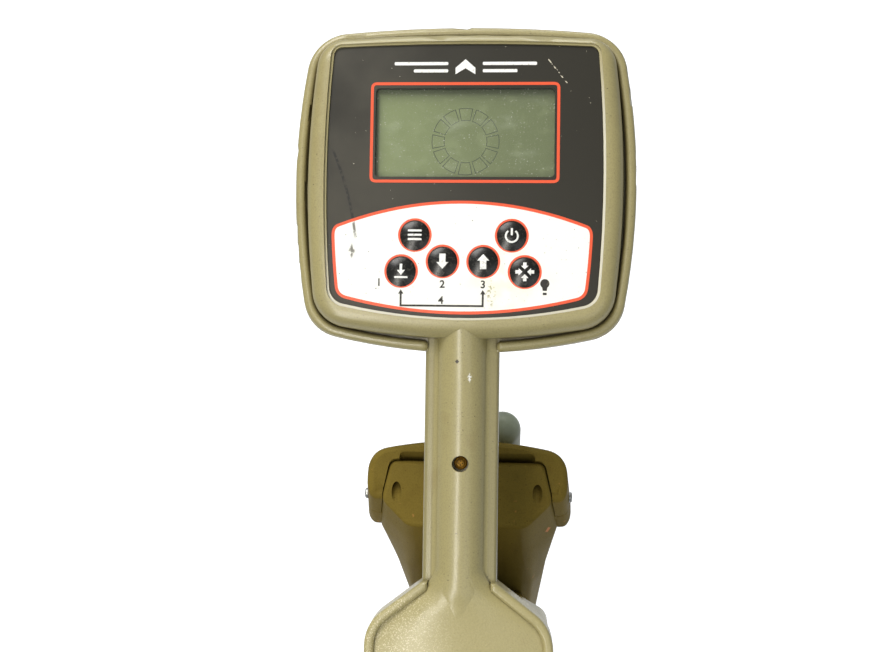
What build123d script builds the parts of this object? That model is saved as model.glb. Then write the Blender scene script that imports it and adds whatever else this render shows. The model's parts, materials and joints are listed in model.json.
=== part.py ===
"""Drill tracking locator: an upright walk-over receiver.

A tilted head with screen and keys, a straight grip and a battery pod form one paddle. The pod's strut
joins a hollow mast that carries a cross antenna at its top and a second one in its foot.
Millimetres, +Z up, +Y forward (away from the operator), origin on the floor under the mast.
"""
import os
from math import cos, radians, sin

from build123d import *

os.makedirs("parts", exist_ok=True)

# Stance: the display face leans towards the operator
display_tilt = 25.0
display_y = 97.0
display_z = 725.0

# Fits
key_gap = 0.3
seat_gap = 0.15
pin_gap = 0.06
wall = 3.0
screw_tip = 1.0
least_round = 1.0
near = 0.01

# Panel sheet on the head, measured from the display centre
panel_half_width = 63.7
panel_half_height = 63.5
panel_side_bow = 2.8
panel_top_bow = 1.5
panel_bottom_bow = 7.4
panel_top_corner = 4.0
panel_bottom_corner = 8.0
panel_sheet = 0.8

# Head bezel: a rolled bead round a domed band, with a groove between them
band_side = 9.6
band_top = 5.4
band_bottom = 9.4
band_rise = 2.6
band_round = 7.0
lip_width = 1.2
lip_step = 1.6
bead_side = 6.3
bead_top = 4.8
bead_bottom = 6.2
bead_level = -6.0
bead_radius = 2.6
bead_overhang = 0.2
bead_gap_half = 16.0
bead_tip = 2.2
bead_side_bow = 4.4
bead_end_bow = 2.4
head_corner = 19.0
head_seam = -18.0
head_gasket = 1.0
head_back = -46.0
head_back_inset = 11.0
head_back_round = 8.0
bezel_floor = 2.5
cavity_margin = 4.0

# Screen
screen_s = 22.4
screen_width = 83.0
screen_height = 41.4
screen_corner = 2.0
lens_border = 1.6
lens_sheet = 1.2
lcd_border = 5.0
lcd_thickness = 4.4
lcd_frame = 1.0
lcd_frame_step = 0.8

# Keys: place on the panel as (side, along the grip)
key_radius = 6.8
key_crown = 1.3
key_shoulder = 0.1
key_clear = 0.1
key_flange = 1.4
key_flange_thickness = 1.0
key_travel = 0.6
key_row_top = (22.3, 37.6)
key_row_inner = (9.35, 25.5)
key_row_outer = (28.4, 20.9)
switch_side = 6.2
switch_gap = 0.1

# Boards and head fasteners
board_thickness = 1.6
board_half_width = 53.0
board_half_height = 56.0
head_post_x = 60.5
head_post_s = 50.0
head_post_radius = 4.5
head_screw_radius = 1.5
head_screw_head = 2.8
head_screw_sink = 3.0
head_screw_cap = 2.0
standoff_radius = 3.0
board_post_inset = 4.0
board_hole = 1.4
beeper_s = 20.0
beeper_radius = 12.0
beeper_height = 8.0
beeper_mouth = 2.5
head_screw_bite = 10.0
gasket_inset = 1.0

# Grip: a domed ridge between two flat edges, with a round underside
grip_half_width = 17.25
grip_edge_level = -9.5
grip_ridge_half = 11.5
grip_ridge_foot = -8.6
grip_ridge_top = -0.6
grip_edge_round = 2.2
grip_ridge_blend = 4.0
grip_low = -38.0
grip_low_side = -24.0
grip_channel = 9.0
grip_channel_top = -11.0
grip_boss = 4.6
grip_screw_s = -130.0
grip_screw_sink = 6.0
grip_screw_well = 3.9
grip_screw_head = 3.1
grip_screw_shank = 1.7
grip_screw_cap = 2.2
grip_screw_bite = 12.0

# Pod: the grip widens into a battery case with a raised rim
pod_neck_s = -184.5
pod_shoulder_s = -204.3
pod_half_width = 43.3
pod_end_s = -272.0
pod_shoulder_round = 20.0
pod_end_round = 16.0
pod_rim = 4.6
pod_rim_top = -3.6
pod_rim_round = 1.9
pod_floor = -9.4
pod_crown_foot = -6.6
pod_crown_mid = -1.2
pod_crown_top = -2.8
crown_fade = 12.0
pod_front_s = -206.5
pod_front_half = 30.0
pod_corner_s = -214.0
pod_front_round = 8.0
pod_case_level = -52.0
pod_bottom = -94.0

# Cells and their bay
cell_radius = 12.9
cell_length = 49.0
cell_nub = 1.0
cell_nub_radius = 4.0
cell_gap = 0.3
bay_top = -31.0
contact_plate = 1.0

# Battery door, hinged at its lower edge
door_thickness = 4.4
door_gap = 0.4
door_top = -22.0
door_bottom = -86.0
door_round = 5.0
hinge_radius = 3.0
hinge_pin_radius = 1.5
hinge_level = -89.5
hinge_back = 2.0
hinge_leaf = 24.5
hinge_knuckle = 11.0
hinge_relief = 1.6
hinge_web_inset = 0.2
hinge_root = 1.0
door_edge = 1.5
seal_width = 1.6
seal_depth = 0.9
seal_gap = 0.3
seal_proud = 0.2
seal_corner = 2.0
latch_level = -26.3
latch_radius = 3.6
latch_height = 2.4
latch_shank = 1.8
latch_slot = 1.2
latch_clear = 0.3
latch_play = 0.8
latch_depth = 4.0

# Mast and its top
mast_front = 23.0
mast_seam = -2.0
mast_foot_z = 74.0
mast_neck_z = 475.0
mast_top_z = 612.0
mast_foot_half = 33.0
mast_neck_half = 37.5
mast_rear = -24.0
mast_mid_y = -9.0
mast_corner = 2.5
mast_draw_in = 1.0
mast_front_corner = 7.0
deck_level = -88.0
flare_rear_half = 33.0
flare_rear = -18.0
flare_wide_half = 48.5
flare_wide_y = -4.0
flare_front_half = 42.0
flare_front = 18.0
flare_corner = 10.0
tongue_rear_half = 29.5
tongue_rear = -12.5
tongue_wide_half = 37.0
tongue_wide_y = -3.0
tongue_front_half = 36.0
tongue_front = 11.3
tongue_round = 8.0
tongue_corner = 10.0
tongue_gap = 0.8

# Cross antenna housing at the top of the mast
bar_half = 58.3
bar_draft = 0.0875
bar_rear = -10.5
bar_front = 23.0
bar_front_side = 17.0
bar_bottom = 531.0
bar_level = -91.0
bar_top_round = 9.0
bar_bottom_round = 9.0
bar_rear_corner = 12.0
bar_front_corner = 16.0
cap_seam_z = 553.6
cap_groove = 0.8
hood_half = 36.0
hood_wall = 4.8
hood_level = -87.0
hood_corner = 7.0
hood_drop = 60.0
trench_half = 31.0
trench_rear = 9.0
trench_floor = 571.0
wire_hole_half = 9.0
wire_slot_s = -211.2
wire_slot = 3.4
wire_slot_half = 20.0

# Screws of the mast and the cross housing
trough_x = 37.5
trough_z = 581.0
trough_radius = 2.5
trough_seat_y = 6.0
trough_boss = 5.5
tongue_screw_head = 2.2
tongue_screw_radius = 1.2
tongue_screw_reach = 12.2
mast_screw_radius = 1.5
mast_screw_head = 2.7
mast_screw_cap = 2.0
mast_screw_sink = 3.2
mast_screw_bite = 12.0
mast_screw_x = 28.0
mast_screw_rows = (125.0, 240.0, 355.0)
mast_boss_radius = 4.0
end_screw_y = 3.0
end_screw_z = 560.0
end_screw_sink = 0.5
end_screw_radius = 2.8
end_screw_height = 1.6
end_screw_shank = 1.4
end_screw_length = 6.0

# Stub antenna in front of the cross housing
stub_x = 18.5
stub_y = 36.5
stub_radius = 10.0
stub_top = 584.0
stub_base = 520.0
stub_boss_radius = 12.5
stub_boss_height = 24.0
stub_nut_height = 5.0
stub_nut_radius = 11.0
stub_bridge_half = 9.0
stub_plate_half = 14.0
stub_plate_margin = 5.0
stub_plate = 2.0

# Antenna coils
rod_radius = 5.0
rod_half = 46.0
coil_radius = 8.5
coil_half = 20.0
coil_flange = 11.0
coil_flange_width = 3.0
upper_rod_y = 8.0
lower_rod_half = 34.0

# Boards inside the mast
main_board_half = 22.0
main_board_y = 6.0
main_board_low = 270.0
main_board_high = 460.0

# Foot with its sole
foot_half_width = 56.0
foot_front = 57.0
foot_rear = -57.0
foot_waist_half = 44.0
foot_waist_front = 36.0
foot_waist_rear = -34.0
foot_waist_z = 46.0
foot_flange_z = 18.0
foot_corner = 20.0
foot_waist_corner = 16.0
foot_collar = 4.5
foot_collar_corner = 9.0
foot_socket = 10.0
foot_plate = 3.0
sole_thickness = 8.0
sole_lip = 1.5
sole_round = 2.0
foot_screw_x = 40.0
foot_screw_y = 38.0
foot_screw_radius = 1.8
foot_screw_head = 3.4
foot_screw_cap = 2.2
foot_screw_seat = 3.0
foot_screw_bite = 8.0
foot_boss_radius = 5.5

# Reach of the cuts that run right through, and of the blocks that part the shells
far = 200.0
high = 1000.0

# Strut from the pod to the mast
strut_front_s = -207.5
strut_rear_s = -262.0
strut_half = 40.0
strut_low_z = 392.0
strut_high_z = 468.0
strut_low_half = 31.0
strut_chamfer = 9.0
strut_round = 6.0

# Planes of the paddle: x to the right, y up along the grip, z out of the display
lean = radians(display_tilt)
paddle = Plane(
    origin=(0, display_y, display_z),
    x_dir=(1, 0, 0),
    z_dir=(0, -sin(lean), cos(lean)),
)
face_axis = Axis(paddle.origin, paddle.z_dir)
grip_axis = Axis(paddle.origin, paddle.y_dir)


def paddle_point(x, s, level):
    """A point given on the paddle, in the frame of the whole object."""
    return paddle.from_local_coords((x, s, level))


def cross_plane(s):
    """The plane across the grip at s, with x to the right and y out of the display."""
    return Plane(origin=paddle_point(0, s, 0), x_dir=(1, 0, 0), z_dir=-paddle.y_dir)


def side_plane(x):
    """The plane facing +X at x, with y forward and z up."""
    return Plane(origin=(x, 0, 0), x_dir=(0, 1, 0), z_dir=(1, 0, 0))


def bowed_outline(plane, half_width, top, bottom, bows, corners):
    """A screen-like outline of four bowed sides; bows are side, top, bottom, corners top, bottom."""
    side_bow, top_bow, bottom_bow = bows
    corner_x = half_width - side_bow
    middle = (top + bottom) / 2
    with BuildSketch(plane) as outline:
        with BuildLine():
            ThreePointArc((-corner_x, top - top_bow), (0, top), (corner_x, top - top_bow))
            ThreePointArc(
                (corner_x, top - top_bow), (half_width, middle), (corner_x, bottom + bottom_bow)
            )
            ThreePointArc((corner_x, bottom + bottom_bow), (0, bottom), (-corner_x, bottom + bottom_bow))
            ThreePointArc(
                (-corner_x, bottom + bottom_bow), (-half_width, middle), (-corner_x, top - top_bow)
            )
        make_face()
        ends = outline.vertices().group_by(Axis.Y)
        fillet(ends[-1], corners[0])
        low_ends = outline.vertices().sort_by(Axis.Y)[:2]
        fillet(low_ends, corners[1])
    return outline.sketch


def panel_outline(level, margin):
    """The panel sheet's outline, grown by a margin."""
    return bowed_outline(
        paddle.offset(level),
        panel_half_width + margin,
        panel_half_height + margin,
        -panel_half_height - margin,
        (panel_side_bow, panel_top_bow, panel_bottom_bow),
        (panel_top_corner + max(margin, 0), panel_bottom_corner + max(margin, 0)),
    )


def band_outline(level):
    """The raised band's outer outline."""
    return bowed_outline(
        paddle.offset(level),
        panel_half_width + band_side,
        panel_half_height + band_top,
        -panel_half_height - band_bottom,
        (panel_side_bow + bead_side_bow / 2, panel_top_bow + bead_end_bow / 2, panel_bottom_bow),
        (panel_top_corner + band_side, panel_bottom_corner + band_side),
    )


def head_outline(level, inset):
    """The head's outer outline, drawn in by an inset."""
    return bowed_outline(
        paddle.offset(level),
        panel_half_width + band_side + bead_side - inset,
        panel_half_height + band_top + bead_top - inset,
        -panel_half_height - band_bottom - bead_bottom + inset,
        (panel_side_bow + bead_side_bow, panel_top_bow + bead_end_bow, panel_bottom_bow + bead_end_bow),
        (head_corner - inset / 2, head_corner - inset / 2),
    )


def bead_roll():
    """The bead round the head, parted at the neck with rounded tips."""
    path = head_outline(bead_level - bead_radius, bead_radius - bead_overhang).face().outer_wire()
    with BuildPart() as roll:
        with BuildSketch(Plane(origin=path @ 0, z_dir=path % 0)):
            Circle(bead_radius)
        sweep(path=path)
        extrude(
            across_grip(-panel_half_height, bead_gap_half, head_seam, band_rise), amount=far, mode=Mode.SUBTRACT
        )
        fillet(roll.faces().filter_by(Axis.X).edges(), bead_tip)
    return roll.part


def grip_hat_section(s):
    """The upper half of the grip: flat edges and a domed ridge."""
    with BuildSketch(cross_plane(s)) as section:
        with BuildLine():
            Line((-grip_half_width, head_seam), (-grip_half_width, grip_edge_level))
            Line((-grip_half_width, grip_edge_level), (-grip_ridge_half, grip_ridge_foot))
            ThreePointArc(
                (-grip_ridge_half, grip_ridge_foot), (0, grip_ridge_top), (grip_ridge_half, grip_ridge_foot)
            )
            Line((grip_ridge_half, grip_ridge_foot), (grip_half_width, grip_edge_level))
            Line((grip_half_width, grip_edge_level), (grip_half_width, head_seam))
            Line((grip_half_width, head_seam), (-grip_half_width, head_seam))
        make_face()
        rows = section.vertices().group_by(Axis.Y)
        fillet(rows[-1], grip_ridge_blend)
        edges_of_grip = section.vertices().filter_by_position(
            Axis.Y, grip_edge_level - near, grip_edge_level + near
        )
        fillet(edges_of_grip, grip_edge_round)
    return section.sketch


def crown_section(s, half, foot, top):
    """A low arched section under the pod's top surface."""
    with BuildSketch(cross_plane(s)) as section:
        with BuildLine():
            Line((-half, pod_floor - wall), (-half, foot))
            ThreePointArc((-half, foot), (0, top), (half, foot))
            Line((half, foot), (half, pod_floor - wall))
            Line((half, pod_floor - wall), (-half, pod_floor - wall))
        make_face()
    return section.sketch


def pod_outline(level, front_half, front_s, shoulder_s, front_round):
    """The pod's plan: a front edge, two slanted shoulders, straight sides and a rounded end."""
    half = pod_half_width
    with BuildSketch(paddle.offset(level)) as outline:
        with BuildLine():
            Polyline(
                (front_half, front_s),
                (half, shoulder_s),
                (half, pod_end_s),
                (-half, pod_end_s),
                (-half, shoulder_s),
                (-front_half, front_s),
                close=True,
            )
        make_face()
        rows = outline.vertices().group_by(Axis.Y)
        fillet(rows[0], pod_end_round)
        shoulders = outline.vertices().filter_by_position(Axis.Y, shoulder_s - near, shoulder_s + near)
        fillet(shoulders, front_round)
    return outline.sketch


def pod_top_outline():
    """The pod's plan at its seam, where it grows out of the grip."""
    return pod_outline(head_seam, grip_half_width, pod_neck_s, pod_shoulder_s, pod_shoulder_round)


def pod_case_outline():
    """The pod's plan further down, with a blunt front."""
    return pod_outline(pod_case_level, pod_front_half, pod_front_s, pod_corner_s, pod_front_round)


def pod_rim_cut(level):
    """The inside of the pod's rim, open towards the grip."""
    run_x = pod_half_width - grip_half_width
    run_s = pod_neck_s - pod_shoulder_s
    slant = (run_x**2 + run_s**2) ** 0.5
    tip_x = grip_half_width - pod_rim * run_s / slant
    tip_s = pod_neck_s - pod_rim * run_x / slant
    side_x = pod_half_width - pod_rim
    side_s = tip_s - (side_x - tip_x) * run_s / run_x
    with BuildSketch(paddle.offset(level)) as outline:
        with BuildLine():
            Polyline(
                (tip_x, pod_neck_s + pod_rim),
                (tip_x, tip_s),
                (side_x, side_s),
                (side_x, pod_end_s + pod_rim),
                (-side_x, pod_end_s + pod_rim),
                (-side_x, side_s),
                (-tip_x, tip_s),
                (-tip_x, pod_neck_s + pod_rim),
                close=True,
            )
        make_face()
        rows = outline.vertices().group_by(Axis.Y)
        fillet(rows[0], pod_end_round - pod_rim)
        bends = outline.vertices().filter_by_position(Axis.Y, side_s - near, side_s + near)
        fillet(bends, pod_shoulder_round - pod_rim)
    return outline.sketch


def spots(half_x, half_s):
    """Four places mirrored about the display centre."""
    return [(half_x, half_s), (-half_x, half_s), (half_x, -half_s), (-half_x, -half_s)]


def pegs(level, places, radius):
    """Round outlines on the paddle at one level."""
    with BuildSketch(paddle.offset(level)) as rounds:
        with Locations(*places):
            Circle(radius)
    return rounds.sketch


def screen_outline(level, border):
    """The screen's rounded rectangle, grown by a border."""
    with BuildSketch(paddle.offset(level)) as outline:
        with Locations((0, screen_s)):
            RectangleRounded(
                screen_width + 2 * border, screen_height + 2 * border, screen_corner + border / 2
            )
    return outline.sketch


def across_grip(s, half_width, low, high):
    """A rectangle across the grip at s, between two levels."""
    with BuildSketch(cross_plane(s)) as section:
        with Locations((0, (low + high) / 2)):
            Rectangle(2 * half_width, high - low)
    return section.sketch


def rounds_across_grip(s, places, radius):
    """Round outlines across the grip at s; places are side and level."""
    with BuildSketch(cross_plane(s)) as rounds:
        with Locations(*places):
            Circle(radius)
    return rounds.sketch


def hinge_round(x, radius):
    """A round outline about the door's hinge line, facing +X."""
    centre = paddle_point(x, pod_end_s + hinge_back, hinge_level)
    with BuildSketch(Plane(origin=centre, x_dir=paddle.y_dir, z_dir=(1, 0, 0))) as rounds:
        Circle(radius)
    return rounds.sketch


def mast_section(z, rear, middle, front, corners, inset):
    """The mast's plan at a height: a flat back, two slanted flanks and a flat front.

    Rear, middle and front are half widths with their place along Y.
    """
    with BuildSketch(Plane.XY.offset(z)) as section:
        with BuildLine():
            Polyline(
                (rear[0] - inset, rear[1] + inset),
                (middle[0] - inset, middle[1]),
                (front[0] - inset, front[1] - inset),
                (-front[0] + inset, front[1] - inset),
                (-middle[0] + inset, middle[1]),
                (-rear[0] + inset, rear[1] + inset),
                close=True,
            )
        make_face()
        pairs = section.vertices().sort_by(Axis.Y)
        fillet(pairs[:2], corners[0])
        fillet(pairs[2:4], corners[1])
        fillet(pairs[4:], corners[2])
    return section.sketch


def straight_section(z, half, inset):
    """The mast's plain part, with crisp rear edges."""
    return mast_section(
        z,
        (half - mast_draw_in, mast_rear),
        (half, mast_mid_y),
        (half - mast_draw_in, mast_front),
        (mast_corner, mast_corner, mast_front_corner),
        inset,
    )


def flare_section(inset):
    """The mast at its widest, level with the cap's seam."""
    return mast_section(
        cap_seam_z,
        (flare_rear_half, flare_rear),
        (flare_wide_half, flare_wide_y),
        (flare_front_half, flare_front),
        (flare_corner, flare_corner, flare_corner),
        inset,
    )


def tongue_section(inset):
    """The tongue's top, drawn in again, where the edges grow soft."""
    return mast_section(
        mast_top_z,
        (tongue_rear_half, tongue_rear),
        (tongue_wide_half, tongue_wide_y),
        (tongue_front_half, tongue_front),
        (tongue_corner, tongue_corner, tongue_corner),
        inset,
    )


def mast_core(inset):
    """The whole mast with its flare and tongue, before it is parted into shells."""
    with BuildPart() as core:
        loft(
            [
                straight_section(mast_foot_z, mast_foot_half, inset),
                straight_section(mast_neck_z, mast_neck_half, inset),
            ],
            ruled=True,
        )
        loft([straight_section(mast_neck_z, mast_neck_half, inset), flare_section(inset)], ruled=True)
        loft([flare_section(inset), tongue_section(inset)], ruled=True)
        split(bisect_by=paddle.offset(deck_level - inset), keep=Keep.BOTTOM)
        if inset <= 0:
            fillet(core.faces().sort_by(Axis.Z)[-1].edges(), tongue_round)
    return core.part


def bar_outline(z, inset):
    """The cross housing's plan, bowed along its front and drawn in with height."""
    half = bar_half - (z - bar_bottom) * bar_draft - inset
    with BuildSketch(Plane.XY.offset(z)) as outline:
        with BuildLine():
            Line((half, bar_front_side - inset), (half, bar_rear + inset))
            Line((half, bar_rear + inset), (-half, bar_rear + inset))
            Line((-half, bar_rear + inset), (-half, bar_front_side - inset))
            ThreePointArc(
                (-half, bar_front_side - inset), (0, bar_front - inset), (half, bar_front_side - inset)
            )
        make_face()
        rows = outline.vertices().group_by(Axis.Y)
        fillet(rows[0], max(bar_rear_corner - inset, least_round))
        fillet(outline.vertices().sort_by(Axis.Y)[-2:], max(bar_front_corner - inset, least_round))
    return outline.sketch


def cross_bar(inset):
    """The cross housing as one closed form, before it is parted."""
    with BuildPart() as bar:
        loft([bar_outline(bar_bottom + inset, inset), bar_outline(mast_top_z, inset)], ruled=True)
        split(bisect_by=paddle.offset(bar_level - inset), keep=Keep.BOTTOM)
        if inset <= 0:
            fillet(bar.faces().sort_by(Axis.Z)[-1].edges(), bar_top_round)
            fillet(bar.faces().sort_by(Axis.Z)[0].edges(), bar_bottom_round)
    return bar.part


def block(low, high):
    """A plain block between two corners, used to part the shells."""
    centre = [(a + b) / 2 for a, b in zip(low, high)]
    size = [b - a for a, b in zip(low, high)]
    with BuildPart(Plane(origin=centre)) as solid:
        Box(*size)
    return solid.part


def rod_rounds(x, y, z, radius):
    """A round outline facing +X, for the antenna rods and screws along X."""
    with BuildSketch(side_plane(x)) as rounds:
        with Locations((y, z)):
            Circle(radius)
    return rounds.sketch


def rear_rounds(y, places, radius):
    """Round outlines facing the operator at y; places are side and height."""
    with BuildSketch(Plane(origin=(0, y, 0), x_dir=(1, 0, 0), z_dir=(0, -1, 0))) as rounds:
        with Locations(*places):
            Circle(radius)
    return rounds.sketch


def foot_section(z, half, rear, front, corner):
    """A rounded rectangle of the foot at a height."""
    with BuildSketch(Plane.XY.offset(z)) as section:
        with Locations((0, (rear + front) / 2)):
            RectangleRounded(2 * half, front - rear, corner)
    return section.sketch


def foot_room(z, inset):
    """The foot's own plan at a height, drawn in by an inset."""
    half = foot_half_width - inset
    return foot_section(z, half, foot_rear + inset, foot_front - inset, foot_corner - inset)


floor_under = -panel_sheet - bezel_floor
key_rows = {
    "key_mode": (-1, key_row_top),
    "key_power": (1, key_row_top),
    "key_down": (-1, key_row_inner),
    "key_up": (1, key_row_inner),
    "key_depth": (-1, key_row_outer),
    "key_target": (1, key_row_outer),
}
key_places = {name: (side * row[0], row[1] - panel_half_height) for name, (side, row) in key_rows.items()}
lcd_top = floor_under - seat_gap
board_top = lcd_top - lcd_thickness
board_posts = spots(board_half_width - board_post_inset, board_half_height - board_post_inset)
head_posts = spots(head_post_x, head_post_s)
cover_top = head_seam - head_gasket

pieces = {}

# Upper moulding: the pod's rim, the head, the grip and the pod's crown in one piece
with BuildPart() as top_shell:
    extrude(pod_top_outline(), amount=pod_rim_top - head_seam)
    extrude(pod_rim_cut(pod_floor), amount=pod_rim_top - pod_floor, mode=Mode.SUBTRACT)
    fillet(top_shell.faces().sort_by(face_axis)[-1].edges(), pod_rim_round)
    extrude(head_outline(head_seam, 0), amount=grip_edge_level - head_seam)
    extrude(band_outline(grip_edge_level), amount=band_rise - grip_edge_level)
    fillet(top_shell.faces().sort_by(face_axis)[-1].edges(), band_round)
    add(bead_roll())
    extrude(grip_hat_section(-panel_half_height), amount=-pod_neck_s - panel_half_height + pod_rim)
    crown_side = pod_half_width - pod_rim / 2
    loft(
        [
            crown_section(pod_neck_s + crown_fade, grip_ridge_half, grip_ridge_foot, grip_ridge_top),
            crown_section(pod_neck_s - crown_fade / 3, grip_half_width, pod_crown_foot, pod_crown_mid),
            crown_section(pod_shoulder_s, crown_side - crown_fade / 2, pod_crown_foot, pod_crown_top),
            crown_section(pod_shoulder_s - crown_fade, crown_side, pod_crown_foot, pod_crown_top),
            crown_section(pod_end_s + pod_rim / 2, crown_side, pod_crown_foot, pod_crown_top),
        ]
    )
    # Panel recess with its thin lip, screen window and key holes
    extrude(panel_outline(-panel_sheet, seat_gap), amount=far, mode=Mode.SUBTRACT)
    extrude(panel_outline(band_rise - lip_step, lip_width), amount=far, mode=Mode.SUBTRACT)
    extrude(panel_outline(head_seam, cavity_margin), amount=floor_under - head_seam, mode=Mode.SUBTRACT)
    extrude(screen_outline(-panel_sheet, lens_border + seat_gap), amount=-lens_sheet, mode=Mode.SUBTRACT)
    extrude(screen_outline(-panel_sheet, 0), amount=-far, mode=Mode.SUBTRACT)
    extrude(pegs(0, key_places.values(), key_radius + key_gap), amount=-far, mode=Mode.SUBTRACT)
    # Posts for the back cover and for the board
    extrude(pegs(head_seam, head_posts, head_post_radius), amount=floor_under - head_seam)
    extrude(pegs(board_top, board_posts, standoff_radius), amount=floor_under - board_top)
    extrude(pegs(head_seam, head_posts, head_screw_radius), amount=head_screw_bite, mode=Mode.SUBTRACT)
    # Wire channel down the grip, with the grip screw's boss and well
    extrude(
        across_grip(-panel_half_height, grip_channel, head_seam, grip_channel_top),
        amount=-wire_slot_s + wire_slot / 2 - panel_half_height,
        mode=Mode.SUBTRACT,
    )
    extrude(pegs(head_seam, [(0, grip_screw_s)], grip_boss), amount=grip_channel_top - head_seam)
    extrude(
        pegs(grip_ridge_top - grip_screw_sink, [(0, grip_screw_s)], grip_screw_well),
        amount=far,
        mode=Mode.SUBTRACT,
    )
    extrude(
        pegs(head_seam, [(0, grip_screw_s)], grip_screw_shank + seat_gap), amount=far, mode=Mode.SUBTRACT
    )
pieces["top_shell"] = top_shell


def cover_body():
    """The head's back cover as one closed form."""
    with BuildPart() as body:
        loft([head_outline(cover_top, 0), head_outline(head_back, head_back_inset)], ruled=True)
        fillet(body.faces().sort_by(face_axis)[0].edges(), head_back_round)
    return body.part


# Head: gasket, back cover and its screws
with BuildPart() as head_gasket_ring:
    extrude(head_outline(cover_top, gasket_inset), amount=head_gasket)
    extrude(panel_outline(cover_top, cavity_margin), amount=head_gasket, mode=Mode.SUBTRACT)
pieces["head_gasket"] = head_gasket_ring

with BuildPart() as head_cover:
    add(cover_body())
    loft(
        [panel_outline(cover_top, cavity_margin), panel_outline(head_back + wall, -wall)],
        ruled=True,
        mode=Mode.SUBTRACT,
    )
    extrude(pegs(cover_top, head_posts, head_post_radius), until=Until.NEXT, dir=-paddle.z_dir)
    extrude(
        pegs(cover_top, head_posts, head_screw_radius + seat_gap), amount=-far, mode=Mode.SUBTRACT
    )
    extrude(
        pegs(head_back + head_screw_sink, head_posts, head_screw_head + seat_gap),
        amount=-far,
        mode=Mode.SUBTRACT,
    )
pieces["head_back_cover"] = head_cover

# Panel sheet, lens and display
with BuildPart() as panel:
    extrude(panel_outline(-panel_sheet, 0), amount=panel_sheet)
    extrude(pegs(0, key_places.values(), key_radius + key_gap), amount=-far, mode=Mode.SUBTRACT)
    extrude(screen_outline(0, 0), amount=-far, mode=Mode.SUBTRACT)
pieces["panel_sheet"] = panel

with BuildPart() as lens:
    extrude(screen_outline(-panel_sheet - lens_sheet, lens_border), amount=lens_sheet)
pieces["screen_lens"] = lens

with BuildPart() as lcd:
    extrude(screen_outline(board_top, lcd_border), amount=lcd_thickness)
    extrude(screen_outline(lcd_top, lcd_frame), amount=-lcd_frame_step, mode=Mode.SUBTRACT)
pieces["lcd_module"] = lcd

with BuildPart() as display_board:
    with BuildSketch(paddle.offset(board_top)):
        Rectangle(2 * board_half_width, 2 * board_half_height)
    extrude(amount=-board_thickness)
    extrude(pegs(board_top, board_posts, board_hole), amount=-far, mode=Mode.SUBTRACT)
pieces["display_board"] = display_board

key_rise = key_crown - key_shoulder
dome_radius = (key_radius**2 + key_rise**2) / (2 * key_rise)
flange_low = floor_under - key_clear - key_flange_thickness
switch_top = flange_low - key_travel - switch_gap
with BuildPart() as key_switches:
    with BuildSketch(paddle.offset(board_top)):
        with Locations(*key_places.values()):
            Rectangle(switch_side, switch_side)
    extrude(amount=switch_top - board_top)
pieces["key_switches"] = key_switches

with BuildPart() as beeper:
    extrude(pegs(board_top - board_thickness, [(0, beeper_s)], beeper_radius), amount=-beeper_height)
    extrude(
        pegs(board_top - board_thickness - beeper_height, [(0, beeper_s)], beeper_mouth),
        amount=beeper_mouth,
        mode=Mode.SUBTRACT,
    )
pieces["beeper"] = beeper

with BuildPart() as head_screws:
    extrude(pegs(head_back + head_screw_sink, head_posts, head_screw_head), amount=-head_screw_cap)
    extrude(
        pegs(head_back + head_screw_sink, head_posts, head_screw_radius),
        amount=head_seam + head_screw_bite - screw_tip - head_back - head_screw_sink,
    )
pieces["head_screws"] = head_screws


def key_cap(x, s):
    """A domed key with a flange that keeps it under the bezel floor."""
    centre = paddle_point(x, s, 0)
    with BuildPart() as key:
        with BuildSketch(Plane(origin=centre, x_dir=(1, 0, 0), z_dir=-paddle.y_dir)):
            with BuildLine():
                Polyline(
                    (0, key_crown),
                    (0, flange_low),
                    (key_radius + key_flange, flange_low),
                    (key_radius + key_flange, flange_low + key_flange_thickness),
                    (key_radius, flange_low + key_flange_thickness),
                    (key_radius, key_shoulder),
                )
                RadiusArc((key_radius, key_shoulder), (0, key_crown), -dome_radius)
            make_face()
        revolve(axis=Axis(centre, paddle.z_dir))
    return key


for key_name, (key_x, key_s) in key_places.items():
    pieces[key_name] = key_cap(key_x, key_s)


def case_body():
    """The battery pod below its seam, before the bay is cut."""
    with BuildPart() as body:
        loft([pod_top_outline(), pod_case_outline()], ruled=True)
        extrude(pod_case_outline(), amount=pod_bottom - pod_case_level)
    return body.part


# Underside of the grip, trimmed to the head cover and the pod
with BuildPart() as grip_lower:
    with BuildSketch(cross_plane(-panel_half_height)):
        with BuildLine():
            Polyline(
                (-grip_half_width, grip_low_side),
                (-grip_half_width, head_seam),
                (grip_half_width, head_seam),
                (grip_half_width, grip_low_side),
            )
            ThreePointArc((grip_half_width, grip_low_side), (0, grip_low), (-grip_half_width, grip_low_side))
        make_face()
    extrude(amount=-pod_shoulder_s - panel_half_height)
    extrude(
        across_grip(-panel_half_height, grip_channel, grip_low + 2 * wall, head_seam),
        amount=far,
        mode=Mode.SUBTRACT,
    )
    extrude(pegs(head_seam, [(0, grip_screw_s)], grip_boss), amount=grip_low + wall - head_seam)
    extrude(
        pegs(head_seam, [(0, grip_screw_s)], grip_screw_shank), amount=-grip_screw_bite, mode=Mode.SUBTRACT
    )
    add(cover_body(), mode=Mode.SUBTRACT)
    extrude(head_outline(cover_top, 0), amount=head_gasket, mode=Mode.SUBTRACT)
    add(case_body(), mode=Mode.SUBTRACT)
pieces["grip_lower_shell"] = grip_lower

with BuildPart() as grip_screw:
    screw_seat = grip_ridge_top - grip_screw_sink
    extrude(pegs(screw_seat, [(0, grip_screw_s)], grip_screw_head), amount=grip_screw_cap)
    fillet(grip_screw.faces().sort_by(face_axis)[-1].edges(), grip_screw_cap / 2)
    extrude(
        pegs(screw_seat, [(0, grip_screw_s)], grip_screw_shank),
        amount=head_seam - grip_screw_bite + screw_tip - screw_seat,
    )
pieces["grip_screw"] = grip_screw

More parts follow.
